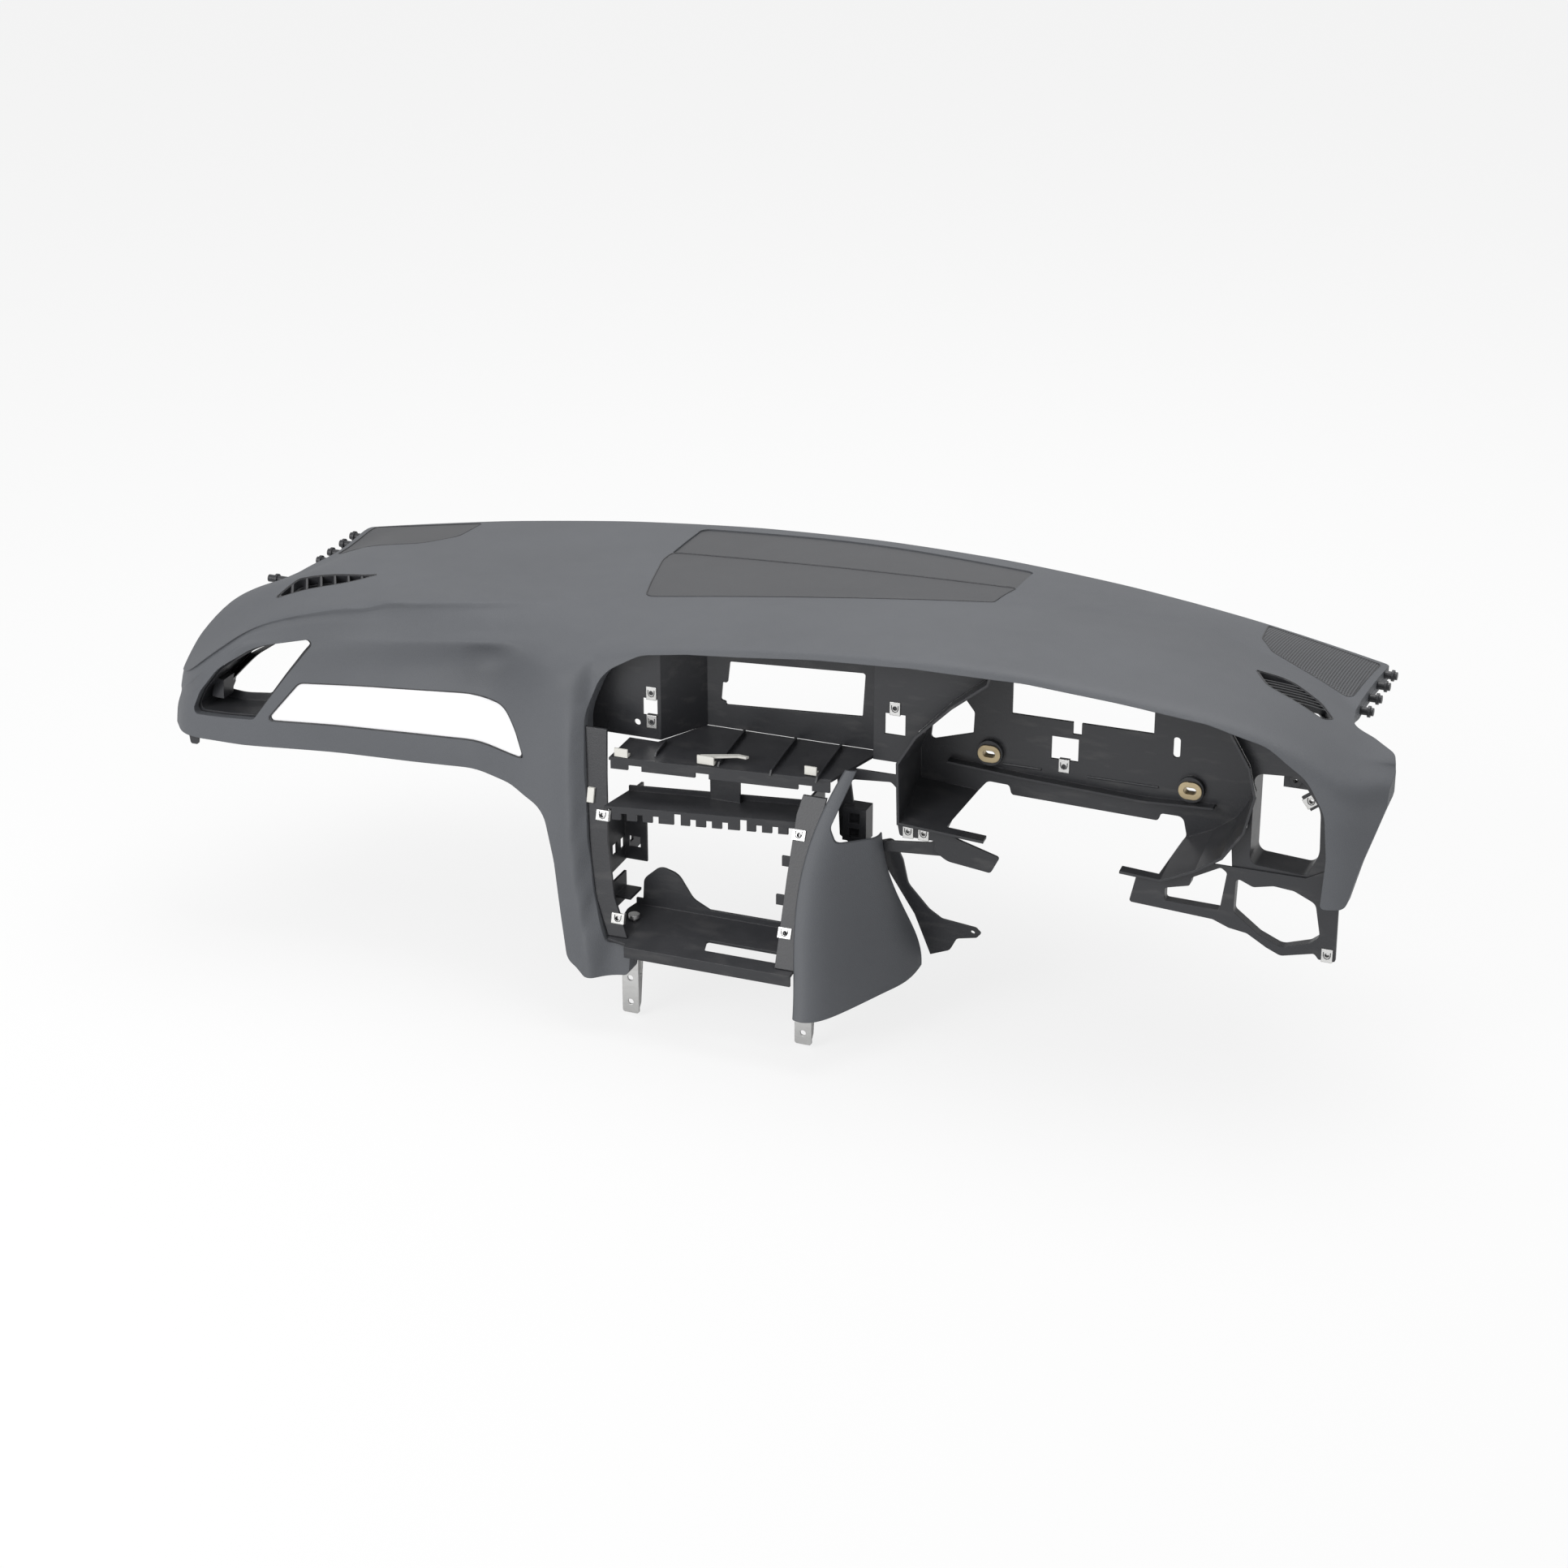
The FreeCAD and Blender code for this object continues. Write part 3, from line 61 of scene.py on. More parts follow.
# %% [markdown]
# ## Helpers for shader nodes
# A finish is a small graph of nodes. Two helpers keep the graphs readable: one adds a node
# and sets its values, and one makes a node group whose inputs and outputs have names, so
# that the same effect can be placed in many materials with different values.

# %% Helpers: a node, and a group with named sockets
def add(tree, kind, **values):
    node = tree.nodes.new(kind)
    for key, value in values.items():
        setattr(node, key, value)
    return node


def new_group(name, inputs, outputs):
    tree = bpy.data.node_groups.new(name, "ShaderNodeTree")
    for label, kind, default in inputs:
        socket = tree.interface.new_socket(name=label, in_out="INPUT", socket_type=kind)
        socket.default_value = default
    for label, kind in outputs:
        tree.interface.new_socket(name=label, in_out="OUTPUT", socket_type=kind)
    return tree, add(tree, "NodeGroupInput"), add(tree, "NodeGroupOutput")


FLOAT, COLOR, VECTOR = "NodeSocketFloat", "NodeSocketColor", "NodeSocketVector"

# %% [markdown]
# ## Grain
# Soft dashboard skin and moulded covers both have a fine pebbled grain pressed in by the
# mould. It could be real geometry, but pebbles of under a millimetre would need millions of
# faces, so a bump of Voronoi cells softened with noise does the work. Object coordinates
# keep its size in real millimetres. The bump starts from a normal that is eased round every
# edge, because a moulded edge is never knife sharp and its round catches the light.

# %% Group: moulded grain
EDGE_ROUND = 0.0012
RIPPLE_SHARE = 0.5

grain, g_in, g_out = new_group(
    "Moulded Grain",
    [("Scale", FLOAT, 900.0), ("Strength", FLOAT, 0.3)],
    [("Normal", VECTOR)])
coords = add(grain, "ShaderNodeTexCoord")
eased = add(grain, "ShaderNodeBevel", samples=4)
eased.inputs["Radius"].default_value = EDGE_ROUND
cells = add(grain, "ShaderNodeTexVoronoi", feature="SMOOTH_F1")
cells.inputs["Smoothness"].default_value = 0.4
ripple = add(grain, "ShaderNodeTexNoise")
ripple.inputs["Scale"].default_value = 240.0
ripple.inputs["Detail"].default_value = 3.0
height = add(grain, "ShaderNodeMath", operation="MULTIPLY_ADD")
height.inputs[1].default_value = RIPPLE_SHARE
bump = add(grain, "ShaderNodeBump")
bump.inputs["Distance"].default_value = 0.0006
grain.links.new(coords.outputs["Object"], cells.inputs["Vector"])
grain.links.new(coords.outputs["Object"], ripple.inputs["Vector"])
grain.links.new(g_in.outputs["Scale"], cells.inputs["Scale"])
grain.links.new(ripple.outputs["Fac"], height.inputs[0])
grain.links.new(cells.outputs["Distance"], height.inputs[2])
grain.links.new(height.outputs[0], bump.inputs["Height"])
grain.links.new(g_in.outputs["Strength"], bump.inputs["Strength"])
grain.links.new(eased.outputs["Normal"], bump.inputs["Normal"])
grain.links.new(bump.outputs["Normal"], g_out.inputs["Normal"])
print("group:", grain.name)

# %% [markdown]
# ## Handling marks
# This is a used part: large soft patches are a little paler or darker, and fine drawn-out
# scuffs cross the hard plastic. Broad noise gives the patches, and noise stretched along one
# axis and cut to its brightest streaks gives the scuffs. Scuffed plastic is also rougher.

# %% Group: handling marks
SCUFF_ROUGHNESS = 0.35

marks, m_in, m_out = new_group(
    "Handling Marks",
    [("Color", COLOR, (0.05, 0.05, 0.05, 1)), ("Scuff Color", COLOR, (0.2, 0.2, 0.2, 1)),
     ("Patches", FLOAT, 0.2), ("Scuffs", FLOAT, 0.2), ("Roughness", FLOAT, 0.5)],
    [("Color", COLOR), ("Roughness", FLOAT)])
coords = add(marks, "ShaderNodeTexCoord")
patch = add(marks, "ShaderNodeTexNoise")
patch.inputs["Scale"].default_value = 4.5
patch.inputs["Detail"].default_value = 2.0
tone = add(marks, "ShaderNodeMapRange")
tone.inputs["From Min"].default_value = 0.3
tone.inputs["From Max"].default_value = 0.7
tone.inputs["To Min"].default_value = 0.86
tone.inputs["To Max"].default_value = 1.16
toned = add(marks, "ShaderNodeVectorMath", operation="SCALE")
patched = add(marks, "ShaderNodeMix", data_type="RGBA")
stretch = add(marks, "ShaderNodeMapping")
stretch.inputs["Scale"].default_value = (26.0, 60.0, 90.0)
stretch.inputs["Rotation"].default_value = (0.5, 0.8, 0.4)
streak = add(marks, "ShaderNodeTexNoise")
streak.inputs["Scale"].default_value = 1.0
streak.inputs["Detail"].default_value = 5.0
cut = add(marks, "ShaderNodeMapRange")
cut.inputs["From Min"].default_value = 0.54
cut.inputs["From Max"].default_value = 0.80
amount = add(marks, "ShaderNodeMath", operation="MULTIPLY")
scuffed = add(marks, "ShaderNodeMix", data_type="RGBA")
rougher = add(marks, "ShaderNodeMath", operation="MULTIPLY_ADD")
rougher.inputs[1].default_value = SCUFF_ROUGHNESS
marks.links.new(coords.outputs["Object"], patch.inputs["Vector"])
marks.links.new(coords.outputs["Object"], stretch.inputs["Vector"])
marks.links.new(stretch.outputs["Vector"], streak.inputs["Vector"])
marks.links.new(patch.outputs["Fac"], tone.inputs["Value"])
marks.links.new(m_in.outputs["Color"], toned.inputs[0])
marks.links.new(tone.outputs["Result"], toned.inputs["Scale"])
marks.links.new(m_in.outputs["Patches"], patched.inputs["Factor"])
marks.links.new(m_in.outputs["Color"], patched.inputs["A"])
marks.links.new(toned.outputs["Vector"], patched.inputs["B"])
marks.links.new(streak.outputs["Fac"], cut.inputs["Value"])
marks.links.new(cut.outputs["Result"], amount.inputs[0])
marks.links.new(m_in.outputs["Scuffs"], amount.inputs[1])
marks.links.new(amount.outputs[0], scuffed.inputs["Factor"])
marks.links.new(patched.outputs["Result"], scuffed.inputs["A"])
marks.links.new(m_in.outputs["Scuff Color"], scuffed.inputs["B"])
marks.links.new(amount.outputs[0], rougher.inputs[0])
marks.links.new(m_in.outputs["Roughness"], rougher.inputs[2])
marks.links.new(scuffed.outputs["Result"], m_out.inputs["Color"])
marks.links.new(rougher.outputs[0], m_out.inputs["Roughness"])
print("group:", marks.name)

# %% [markdown]
# ## Dust
# Years under a windscreen leave a pale film on faces that look up. The upward part of the
# surface normal says where it lies, and noise breaks it up so that it doesn't look painted.

# %% Group: settled dust
dust, d_in, d_out = new_group(
    "Settled Dust",
    [("Color", COLOR, (0.05, 0.05, 0.05, 1)), ("Dust Color", COLOR, (0.32, 0.32, 0.33, 1)),
     ("Amount", FLOAT, 0.15)],
    [("Color", COLOR)])
coords = add(dust, "ShaderNodeTexCoord")
facing = add(dust, "ShaderNodeNewGeometry")
split = add(dust, "ShaderNodeSeparateXYZ")
upward = add(dust, "ShaderNodeMapRange")
upward.inputs["From Min"].default_value = 0.35
upward.inputs["From Max"].default_value = 1.0
broken = add(dust, "ShaderNodeTexNoise")
broken.inputs["Scale"].default_value = 38.0
broken.inputs["Detail"].default_value = 6.0
lies = add(dust, "ShaderNodeMath", operation="MULTIPLY")
share = add(dust, "ShaderNodeMath", operation="MULTIPLY")
dusty = add(dust, "ShaderNodeMix", data_type="RGBA")
dust.links.new(coords.outputs["Object"], broken.inputs["Vector"])
dust.links.new(facing.outputs["Normal"], split.inputs[0])
dust.links.new(split.outputs["Z"], upward.inputs["Value"])
dust.links.new(upward.outputs["Result"], lies.inputs[0])
dust.links.new(broken.outputs["Fac"], lies.inputs[1])
dust.links.new(lies.outputs[0], share.inputs[0])
dust.links.new(d_in.outputs["Amount"], share.inputs[1])
dust.links.new(share.outputs[0], dusty.inputs["Factor"])
dust.links.new(d_in.outputs["Color"], dusty.inputs["A"])
dust.links.new(d_in.outputs["Dust Color"], dusty.inputs["B"])
dust.links.new(dusty.outputs["Result"], d_out.inputs["Color"])
print("group:", dust.name)

# %% [markdown]
# ## Perforation
# The driver's speaker cover is a fine mesh. Thousands of real holes would be heavy, so the
# plan position is folded into small squares, and a round dot stands in each square. The cover's
# finish paints each dot near-black, as painted shade for the inside of a hole.

# %% Group: perforation
HALF_SQUARE = 0.5

holes, h_in, h_out = new_group(
    "Perforation", [("Pitch", FLOAT, 0.003), ("Radius", FLOAT, 0.32)], [("Mask", FLOAT)])
coords = add(holes, "ShaderNodeTexCoord")
split = add(holes, "ShaderNodeSeparateXYZ")
holes.links.new(coords.outputs["Object"], split.inputs[0])
square = []
for axis in ("X", "Y"):
    ratio = add(holes, "ShaderNodeMath", operation="DIVIDE")
    fold = add(holes, "ShaderNodeMath", operation="FRACT")
    centred = add(holes, "ShaderNodeMath", operation="SUBTRACT")
    centred.inputs[1].default_value = HALF_SQUARE
    squared = add(holes, "ShaderNodeMath", operation="MULTIPLY")
    holes.links.new(split.outputs[axis], ratio.inputs[0])
    holes.links.new(h_in.outputs["Pitch"], ratio.inputs[1])
    holes.links.new(ratio.outputs[0], fold.inputs[0])
    holes.links.new(fold.outputs[0], centred.inputs[0])
    holes.links.new(centred.outputs[0], squared.inputs[0])
    holes.links.new(centred.outputs[0], squared.inputs[1])
    square.append(squared)
total = add(holes, "ShaderNodeMath", operation="ADD")
root = add(holes, "ShaderNodeMath", operation="SQRT")
inside = add(holes, "ShaderNodeMath", operation="LESS_THAN")
holes.links.new(square[0].outputs[0], total.inputs[0])
holes.links.new(square[1].outputs[0], total.inputs[1])
holes.links.new(total.outputs[0], root.inputs[0])
holes.links.new(root.outputs[0], inside.inputs[0])
holes.links.new(h_in.outputs["Radius"], inside.inputs[1])
holes.links.new(inside.outputs[0], h_out.inputs["Mask"])
print("group:", holes.name)

# %% [markdown]
# ## The finishes
# Each finish places the same groups with its own values: the soft blue-grey pad, the
# smoother near-black carriers, matt covers, zinc-plated steel, dull brass and off-white
# nylon. Metalness is a plain number on the shader, and the rest varies over the surface.

# %% Build one finish
def place(tree, group, **values):
    node = add(tree, "ShaderNodeGroup", node_tree=group)
    for key, value in values.items():
        node.inputs[key.replace("_", " ")].default_value = value
    return node


def finish(name, color, scuff, roughness, patches, scuffs, grain_scale, grain_strength,
           dusting=0.0, metal=0.0):
    made = bpy.data.materials.new(name)
    made.use_nodes = True
    tree = made.node_tree
    shader = tree.nodes["Principled BSDF"]
    shader.inputs["Metallic"].default_value = metal
    used = place(tree, marks, Color=(*color, 1), Scuff_Color=(*scuff, 1), Patches=patches,
                 Scuffs=scuffs, Roughness=roughness)
    film = place(tree, dust, Amount=dusting)
    skin = place(tree, grain, Scale=grain_scale, Strength=grain_strength)
    tree.links.new(used.outputs["Color"], film.inputs["Color"])
    tree.links.new(film.outputs["Color"], shader.inputs["Base Color"])
    tree.links.new(used.outputs["Roughness"], shader.inputs["Roughness"])
    tree.links.new(skin.outputs["Normal"], shader.inputs["Normal"])
    return made


finishes = {
    "pad_skin": finish(
        "soft_pad_skin", color=(0.104, 0.110, 0.121), scuff=(0.15, 0.16, 0.17), roughness=0.58,
        patches=0.35, scuffs=0.08, grain_scale=950.0, grain_strength=0.30, dusting=0.06),
    "hard_black": finish(
        "hard_black_plastic", color=(0.030, 0.031, 0.035), scuff=(0.15, 0.145, 0.14),
        roughness=0.36, patches=0.7, scuffs=0.22, grain_scale=520.0, grain_strength=0.10,
        dusting=0.10),
    "cover_plastic": finish(
        "matt_cover_plastic", color=(0.068, 0.070, 0.075), scuff=(0.11, 0.11, 0.12),
        roughness=0.50, patches=0.3, scuffs=0.06, grain_scale=700.0, grain_strength=0.22,
        dusting=0.04),
    "duct_plastic": finish(
        "dull_duct_plastic", color=(0.036, 0.036, 0.038), scuff=(0.12, 0.12, 0.12),
        roughness=0.62, patches=0.5, scuffs=0.22, grain_scale=420.0, grain_strength=0.18,
        dusting=0.20),
    "satin_trim": finish(
        "satin_trim", color=(0.93, 0.93, 0.94), scuff=(0.82, 0.82, 0.83), roughness=0.30,
        patches=0.10, scuffs=0.10, grain_scale=1500.0, grain_strength=0.03),
    "zinc_steel": finish(
        "zinc_plated_steel", color=(0.78, 0.78, 0.77), scuff=(0.38, 0.36, 0.33), roughness=0.36,
        patches=0.5, scuffs=0.40, grain_scale=1200.0, grain_strength=0.15, metal=1.0),
    "bush_metal": finish(
        "dull_brass", color=(0.56, 0.46, 0.29), scuff=(0.30, 0.24, 0.15), roughness=0.42,
        patches=0.5, scuffs=0.35, grain_scale=1200.0, grain_strength=0.12, metal=1.0),
    "clip_plastic": finish(
        "off_white_nylon", color=(0.78, 0.77, 0.72), scuff=(0.52, 0.50, 0.45), roughness=0.45,
        patches=0.4, scuffs=0.30, grain_scale=600.0, grain_strength=0.10),
}
print("finishes:", len(finishes))

# %% [markdown]
# ## The perforated cover
# The mesh finish is a little paler than the other covers. Where the perforation mask is 1 it
# turns near-black, which is painted shade standing in for the insides of the holes. The same
# mask dents the surface, through a bump that takes the grain's normal as its base.

# %% Finish: perforated speaker mesh
mesh_finish = finish(
    "speaker_mesh_plastic", color=(0.094, 0.098, 0.106), scuff=(0.12, 0.12, 0.13),
    roughness=0.52, patches=0.3, scuffs=0.05, grain_scale=700.0, grain_strength=0.15,
    dusting=0.04)
tree = mesh_finish.node_tree
shader = tree.nodes["Principled BSDF"]
dots = place(tree, holes, Pitch=0.0032, Radius=0.33)
# The near-black colour mixed in at the dots is painted shade for the insides of the holes.
painted_hole_shade = add(tree, "ShaderNodeMix", data_type="RGBA")
painted_hole_shade.inputs["B"].default_value = (0.008, 0.008, 0.009, 1)
dent = add(tree, "ShaderNodeBump", invert=True)
dent.inputs["Distance"].default_value = 0.0008
tree.links.new(shader.inputs["Base Color"].links[0].from_socket, painted_hole_shade.inputs["A"])
tree.links.new(shader.inputs["Normal"].links[0].from_socket, dent.inputs["Normal"])
tree.links.new(dots.outputs["Mask"], painted_hole_shade.inputs["Factor"])
tree.links.new(dots.outputs["Mask"], dent.inputs["Height"])
tree.links.new(painted_hole_shade.outputs["Result"], shader.inputs["Base Color"])
tree.links.new(dent.outputs["Normal"], shader.inputs["Normal"])
finishes["speaker_mesh"] = mesh_finish
print("finish:", mesh_finish.name)

# %% [markdown]
# ## Dressing the solids
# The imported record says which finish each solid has, so one loop dresses them all. Only the
# material changes: the solids' meshes and places stay as they were measured.

# %% Give every solid its finish
slot_of = {part["node"]: part["material_slot"] for part in frame["record"]["subparts"]}
for name, solid in nodes.items():
    solid.data.materials.clear()
    solid.data.materials.append(finishes[slot_of[name]])
print("dressed:", len(slot_of))

# %% [markdown]
# ## Helpers for small moulded pieces
# Small pieces are shaped with mesh operators, and their place lies in their mesh, so that
# their objects stay at the origin. To seat one, a ray is sent at the solid that carries it,
# mostly straight down from well above.

# %% Helpers: find a surface, and hand over a finished piece
ABOVE = 1.0
SHARP_EDGE = math.radians(35)


def seat(node, origin, direction):
    hit, spot, normal, _ = nodes[node].ray_cast(Vector(origin), Vector(direction))
    return (spot, normal) if hit else (None, None)


def top_of(node, x, y):
    return seat(node, (x, y, ABOVE), (0, 0, -1))[0]


def piece(name, shape, slot_name):
    mesh = bpy.data.meshes.new(name)
    bmesh.ops.recalc_face_normals(shape, faces=shape.faces)
    for face in shape.faces:
        face.smooth = True
    for edge in shape.edges:
        edge.smooth = len(edge.link_faces) == 2 and edge.calc_face_angle(0) < SHARP_EDGE
    shape.to_mesh(mesh)
    shape.free()
    made = bpy.data.objects.new(name, mesh)
    bpy.context.scene.collection.objects.link(made)
    made.data.materials.append(finishes[slot_name])
    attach(made, "root")
    print(name, "faces:", len(mesh.polygons))


# %% [markdown]
# ## Fins in the demister slot
# Short upright fins cross the long slot at the windscreen's foot and aim the air. One box,
# bevelled and repeated along the slot, is enough. Each is seated just under the strip's
# surface, which a ray finds beside the slot, and its ends run into the slot's walls.

# %% Demister fins
FIN_COUNT = 26
FIN_SIZE, FIN_BEVEL, FIN_SINK = (0.0014, 0.0064, 0.0040), 0.0003, 0.0024
SLOT_LEFT, SLOT_LENGTH = -0.196, 0.395
SLOT_AT, SLOT_SKEW = 0.3857, 0.0137
BESIDE_SLOT = 0.006


def bevelled_box(shape, size, place_at, width):
    made = bmesh.ops.create_cube(shape, size=1.0)
    bmesh.ops.scale(shape, vec=size, verts=made["verts"])
    edges = list({edge for vert in made["verts"] for edge in vert.link_edges})
    rounded = bmesh.ops.bevel(shape, geom=edges, offset=width, offset_type="OFFSET", segments=2,
                              profile=0.5, affect="EDGES", material=-1)
    verts = {vert for face in rounded["faces"] for vert in face.verts}
    verts |= {vert for vert in made["verts"] if vert.is_valid}
    bmesh.ops.transform(shape, matrix=place_at, verts=list(verts))


fins = bmesh.new()
for i in range(FIN_COUNT):
    along = (i + 0.5) / FIN_COUNT
    x = SLOT_LEFT + SLOT_LENGTH * along
    y = SLOT_AT + SLOT_SKEW * along
    spot = top_of("defroster_slot_grille", x, y - BESIDE_SLOT)
    if spot is not None:
        place_at = Matrix.Translation((x, y, spot.z - FIN_SINK))
        bevelled_box(fins, FIN_SIZE, place_at, FIN_BEVEL)
piece("demister_fins", fins, "cover_plastic")

# %% [markdown]
# ## Painted shadow in the seams
# Every cover sits in its opening with a gap round it, and the shade in the gap is what the eye
# sees.
# A thin dark tube laid in the gap is painted shadow, which draws the gap at any distance. The
# outline is a list of corners with radii in millimetres; each corner is rounded with a short
# parabola. Rings of vertices along the path are bridged into the tube.

# %% Helpers: a rounded outline and a thin tube along a path
CORNER_SHARE, CURVE_STEPS, OUTLINE_STEP = 0.48, 4, 12.0


def rounded_outline(corners):
    path = []
    count = len(corners)
    for i, (a, b, radius) in enumerate(corners):
        here = Vector((a, b))
        to_before = Vector(corners[i - 1][:2]) - here
        to_after = Vector(corners[(i + 1) % count][:2]) - here
        turn = to_before.angle(to_after)
        room = CORNER_SHARE * min(to_before.length, to_after.length)
        reach = min(radius / math.tan(turn / 2), room)
        first = here + to_before.normalized() * reach
        last = here + to_after.normalized() * reach
        for k in range(CURVE_STEPS + 1):
            t = k / CURVE_STEPS
            path.append(first.lerp(here, t).lerp(here.lerp(last, t), t))
    dense = []
    for i, point in enumerate(path):
        after = path[(i + 1) % len(path)]
        parts = max(1, int((after - point).length / OUTLINE_STEP))
        dense += [point.lerp(after, k / parts) for k in range(parts)]
    return dense


def tube(shape, path, radius, closed=False, segments=6):
    rings = []
    count = len(path)
    for i, point in enumerate(path):
        after = path[(i + 1) % count] if closed else path[min(i + 1, count - 1)]
        before = path[i - 1] if closed or i else path[0]
        turn = (after - before).to_track_quat("Z", "Y").to_matrix().to_4x4()
        ends = not closed and i in (0, count - 1)
        ring = bmesh.ops.create_circle(shape, cap_ends=ends, segments=segments, radius=radius,
                                       matrix=Matrix.Translation(point) @ turn)["verts"]
        rings.append(list({e for v in ring for e in v.link_edges if e.other_vert(v) in ring}))
    pairs = list(zip(rings, rings[1:]))
    if closed:
        pairs.append((rings[-1], rings[0]))
    for one, other in pairs:
        bmesh.ops.bridge_loops(shape, edges=one + other)


# %% Painted shadow seams round the covers
COVER = [(-172, 167, 12), (-96, 192, 40), (-20, 216, 40), (57, 240, 40), (133, 264, 40),
         (209, 287, 6), (217, 348, 4), (-210, 333, 10), (-208, 300, 60), (-186, 215, 40)]
SPEAKER_LEFT = [(-628, 262, 8), (-575, 267, 50), (-525, 292, 40), (-497, 335, 40),
                (-503, 413, 6), (-634, 377, 8)]
SPEAKER_RIGHT = [(636, 238, 8), (532, 300, 22), (511, 338, 22), (500, 414, 6), (640, 375, 8)]
GRILLE_LEFT = [(-610, 76, 6), (-535, 104, 60), (-506, 146, 3), (-603, 126, 8)]
GRILLE_RIGHT = [(535, 208, 3), (558, 164, 40), (629, 126, 8), (637, 142, 8), (617, 175, 60),
                (572, 214, 30)]
DECOR_STRIP = [(-588, -151, 5), (-546, -101, 14), (-455, -96, 200), (-345, -92, 200),
               (-284, -95, 60), (-262, -114, 50), (-244, -139, 5), (-400, -144, 300)]
FORWARD, UP = 0.044, 0.390
MM_PER_METRE = 1000
BESIDE_SEAM = 2.0
IN_FRONT = -0.6
DEEPEST, LOWEST = 0.2, 0.25
TOP_SEAM, STRIP_SEAM = 0.0008, 0.0010


def seam(shape, corners, lid, from_front, radius):
    flat = rounded_outline(corners)
    path = []
    for i, point in enumerate(flat):
        along = (flat[(i + 1) % len(flat)] - flat[i - 1]).normalized()
        aside = Vector((-along.y, along.x)) * BESIDE_SEAM
        levels = []
        for node in (lid, "dash_pad"):
            for spot in (point + aside, point - aside):
                a, b = spot.x / MM_PER_METRE, spot.y / MM_PER_METRE
                if from_front:
                    hit, _ = seat(node, (a, IN_FRONT, b + UP), (0, 1, 0))
                    levels += [hit.y] if hit and hit.y < DEEPEST else []
                else:
                    hit = top_of(node, a, b + FORWARD)
                    levels += [hit.z] if hit and hit.z > LOWEST else []
        if levels:
            level = sum(levels) / len(levels)
            a, b = point.x / MM_PER_METRE, point.y / MM_PER_METRE
            path.append(Vector((a, level, b + UP) if from_front else (a, b + FORWARD, level)))
    tube(shape, path, radius, closed=True)


# The dark tubes are painted shadow: they stand in for the shade in the gaps round the covers.
gap_shadows = bmesh.new()
for corners, lid in ((COVER, "centre_top_cover"), (SPEAKER_LEFT, "speaker_cover_left"),
                     (SPEAKER_RIGHT, "speaker_cover_right"), (GRILLE_LEFT, "side_grille_left"),
                     (GRILLE_RIGHT, "side_grille_right")):
    seam(gap_shadows, corners, lid, False, TOP_SEAM)
seam(gap_shadows, DECOR_STRIP, "passenger_decor_strip", True, STRIP_SEAM)
piece("cover_gap_shadows", gap_shadows, "hard_black")

# %% [markdown]
# ## The lip of the demister slot
# The cover's rear edge is rolled over and catches the light as a fine bright line along the
# whole slot. A thin tube on the edge, in the cover's own plastic, gives that line.

# %% Slot lip
LIP_LEFT, LIP_LENGTH, LIP_STEPS = -0.200, 0.404, 32
LIP_AT, LIP_SKEW = 0.3435, 0.03675
LIP_RISE, LIP_RADIUS = 0.0012, 0.0013

lip = bmesh.new()
path = []
for i in range(LIP_STEPS + 1):
    x = LIP_LEFT + LIP_LENGTH * i / LIP_STEPS
    spot = top_of("defroster_slot_grille", x, FORWARD + LIP_AT + LIP_SKEW * x)
    if spot:
        path.append(spot + Vector((0, 0, LIP_RISE)))
tube(lip, path, LIP_RADIUS, segments=8)
piece("slot_lip", lip, "cover_plastic")

# %% [markdown]
# ## Ridges in the bucket
# The bucket's back wall has long rounded steps pressed in, which show as bright lines. They
# are read off along lines of sight: a ray from the camera through a place in the picture
# finds the wall that it meets, and a tube sunk just past its middle makes the step.

# %% Helpers: a ray from the camera through a place in the picture
LENS, SENSOR, FRAME = 75.28, 36.0, 1932.0
DISTANCE = 3.6
aim = Vector((0.065, 0.044, 0.264))
back = Vector((0.3361, -0.8533, 0.3987)).normalized()
eye = aim + back * DISTANCE
aside = (-back).cross(Vector((0, 0, 1))).normalized()
over = aside.cross(-back)


def sight(a, b):
    across = (a - FRAME / 2) / FRAME * SENSOR / LENS
    upward = (FRAME / 2 - b) / FRAME * SENSOR / LENS
    return (aside * across + over * upward - back).normalized()


def along_sight(node, places, parts, out):
    path = []
    for (a, b), (c, d) in zip(places, places[1:]):
        for k in range(parts):
            t = k / parts
            spot, normal = seat(node, eye, sight(a + (c - a) * t, b + (d - b) * t))
            if spot:
                path.append(spot + normal * out)
    return path


# %% Ridges in the bucket's back wall
RIDGES = (((1236, 941), (1290, 949)), ((1340, 957), (1440, 972)))
RIDGE_STEPS, RIDGE_SINK, RIDGE_RADIUS = 8, 0.0004, 0.0016
SAME_WALL, FEWEST_POINTS = 0.003, 4

ridges = bmesh.new()
for places in RIDGES:
    path = along_sight("cluster_housing", places, RIDGE_STEPS, -RIDGE_SINK)
    path = [point for point in path if abs(point.y - path[0].y) < SAME_WALL]
    if len(path) >= FEWEST_POINTS:
        tube(ridges, path, RIDGE_RADIUS, segments=8)
piece("bucket_ridges", ridges, "hard_black")

# %% [markdown]
# ## Painted shade in the spring nuts' slots
# A spring nut is folded from sheet, and a U-shaped slot round its thread lets the tongue
# bend. Here each slot is a thin dark tube on the nut's face: painted shade standing in for the
# open slot. The nuts are one solid node, so a merged copy is split into its islands, and the
# broad front face of each tells where its slot goes and which way it faces.

# %% Helper: split a mesh into its islands
def islands(shape):
    found = []
    left_over = set(shape.verts)
    for start in shape.verts:
        if start not in left_over:
            continue
        left_over.discard(start)
        island = {start}
        waiting = [start]
        while waiting:
            vert = waiting.pop()
            for edge in vert.link_edges:
                other = edge.other_vert(vert)
                if other in left_over:
                    left_over.discard(other)
                    island.add(other)
                    waiting.append(other)
        found.append(island)
    return found


